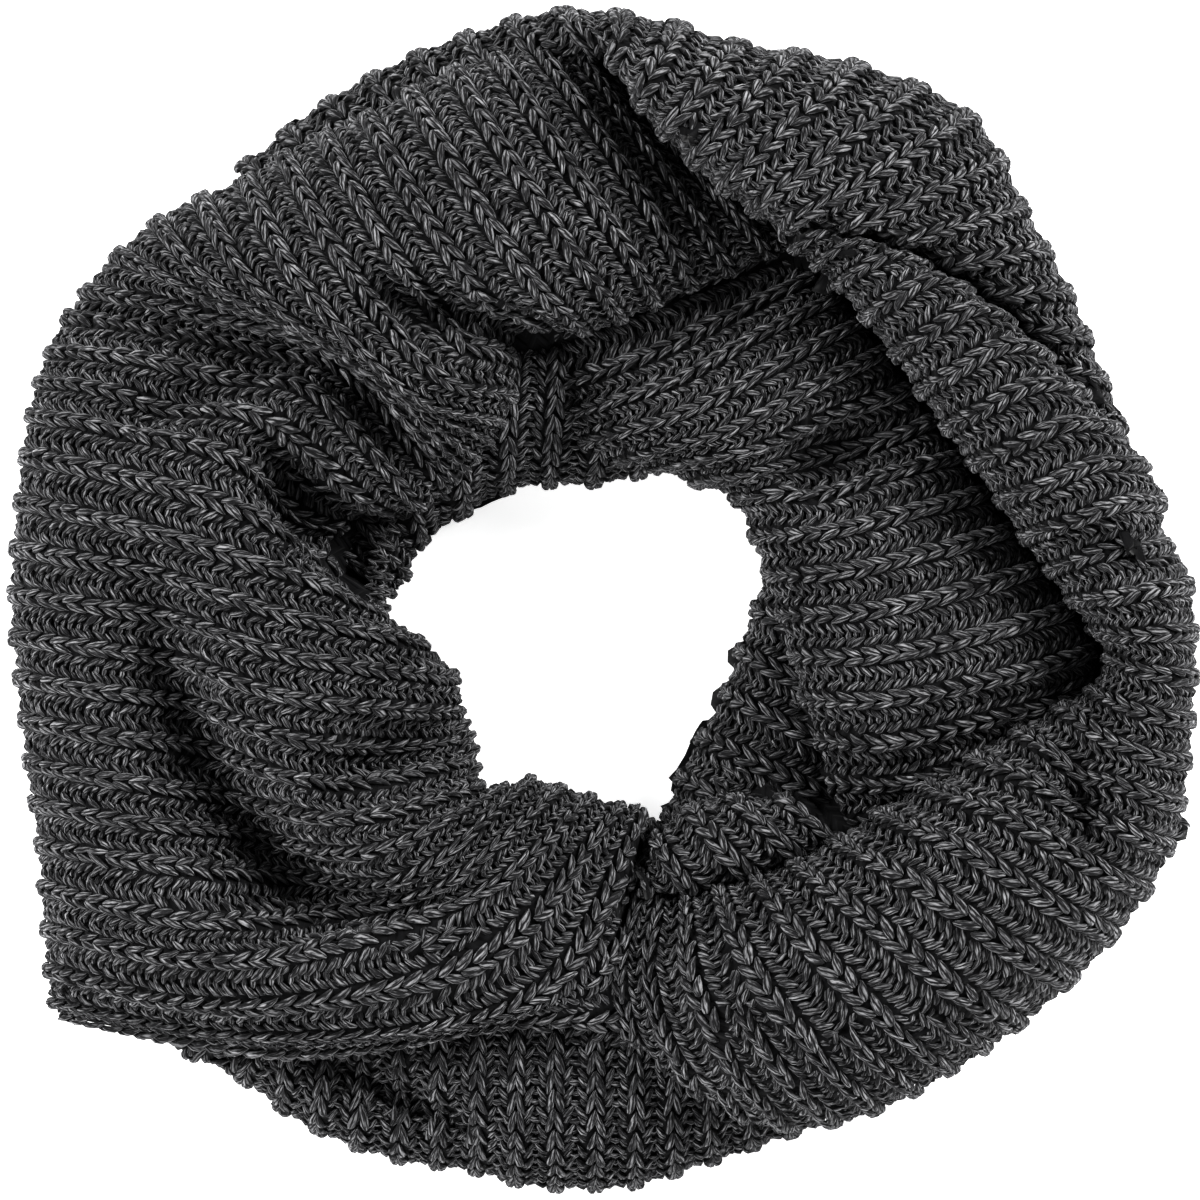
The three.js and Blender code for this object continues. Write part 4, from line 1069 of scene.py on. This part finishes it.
class SCARF_OT_hidden_layers(bpy.types.Operator):
    """Lay the hidden layers as one ring with two knitted layers at its edges"""

    bl_idname = "scarf.hidden_layers"
    bl_label = "Hidden layers"

    def execute(self, context):
        behind, yarn = shared_materials(context.scene.scarf_colours)
        ground = hidden_ground("hidden_layers_cloth", behind)
        stitches = hidden_stitches("hidden_layers_stitches", yarn)
        declared(ground, stitches, "hidden_layers")
        return {"FINISHED"}


class SCARF_OT_lower_stretches(bpy.types.Operator):
    """Lay the lower stretches that show below the pinch and round the hole"""

    bl_idname = "scarf.lower_stretches"
    bl_label = "Lower stretches"

    def execute(self, context):
        for name in ("lower_front", "hole_top", "hole_right", "inner_right", "inner_roll"):
            dressed(context, name)
        return {"FINISHED"}


class SCARF_OT_upper_turn(bpy.types.Operator):
    """Lay the upper turn: left, top and right"""

    bl_idname = "scarf.upper_turn"
    bl_label = "Upper turn"

    def execute(self, context):
        for name in ("left_turn", "top_turn", "right_turn"):
            dressed(context, name)
        return {"FINISHED"}


class SCARF_OT_top_flap(bpy.types.Operator):
    """Lay the flap that rises in a ridge over the top"""

    bl_idname = "scarf.top_flap"
    bl_label = "Top flap"

    def execute(self, context):
        dressed(context, "top_flap")
        return {"FINISHED"}


class SCARF_OT_studio(bpy.types.Operator):
    """Set up the white floor, the soft lights and the camera straight above"""

    bl_idname = "scarf.studio"
    bl_label = "Studio"

    def execute(self, context):
        scene = context.scene
        sizes = scene.scarf_studio
        half = sizes.floor_size / 2
        corners = np.array([(-half, -half, 0), (half, -half, 0), (half, half, 0), (-half, half, 0)])
        floor = mesh_piece(
            "floor", corners / MM, np.array([[0, 1, 2, 3]]), NO_TRIANGLES, "place", corners,
            white_floor())
        for name, place, size, power in LIGHTS:
            light = bpy.data.lights.new(name, "AREA")
            light.shape = "DISK"
            light.size = size
            light.energy = power
            lamp = bpy.data.objects.new(name, light)
            lamp.location = place
            lamp.rotation_euler = (-Vector(place)).to_track_quat("-Z", "Y").to_euler()
            scene.collection.objects.link(lamp)
        world = bpy.data.worlds.new("studio_air")
        world.use_nodes = True
        world.node_tree.nodes["Background"].inputs["Color"].default_value = (1, 1, 1, 1)
        world.node_tree.nodes["Background"].inputs["Strength"].default_value = AIR_LIGHT
        scene.world = world
        camera = bpy.data.cameras.new("above")
        camera.sensor_width = SENSOR_WIDTH
        camera.lens = SENSOR_WIDTH * (sizes.camera_height - FRAMED_HEIGHT) / sizes.framed_width
        camera.clip_end = CAMERA_REACH
        above = bpy.data.objects.new("above", camera)
        above.location = (OUTLINE_SHIFT[0] * MM, OUTLINE_SHIFT[1] * MM, sizes.camera_height)
        scene.collection.objects.link(above)
        scene.camera = above
        scene.view_settings.view_transform = "Standard"
        scene.view_settings.gamma = PHOTO_CONTRAST
        return {"FINISHED"}


class SCARF_PT_panel(bpy.types.Panel):
    """Lists the scarf's sizes, colours and steps"""

    bl_idname = "SCARF_PT_panel"
    bl_label = "Infinity scarf"
    bl_space_type = "VIEW_3D"
    bl_region_type = "UI"
    bl_category = "Scarf"

    def draw(self, context):
        scene = context.scene
        for group in (scene.scarf_colours, scene.scarf_studio):
            for name in group.__annotations__:
                self.layout.prop(group, name)
        for step in STEPS:
            self.layout.operator(step.bl_idname)


STEPS = (
    SCARF_OT_hidden_layers,
    SCARF_OT_lower_stretches,
    SCARF_OT_upper_turn,
    SCARF_OT_top_flap,
    SCARF_OT_studio,
)
CLASSES = (SCARF_PG_yarn_colours, SCARF_PG_studio, *STEPS, SCARF_PT_panel)


def register():
    for made in CLASSES:
        bpy.utils.register_class(made)
    bpy.types.Scene.scarf_colours = bpy.props.PointerProperty(type=SCARF_PG_yarn_colours)
    bpy.types.Scene.scarf_studio = bpy.props.PointerProperty(type=SCARF_PG_studio)


def unregister():
    del bpy.types.Scene.scarf_studio
    del bpy.types.Scene.scarf_colours
    for made in reversed(CLASSES):
        bpy.utils.unregister_class(made)


def main():
    register()
    bpy.ops.scarf.hidden_layers()
    bpy.ops.scarf.lower_stretches()
    bpy.ops.scarf.upper_turn()
    bpy.ops.scarf.top_flap()
    bpy.ops.scarf.studio()


if __name__ == "__main__":
    main()
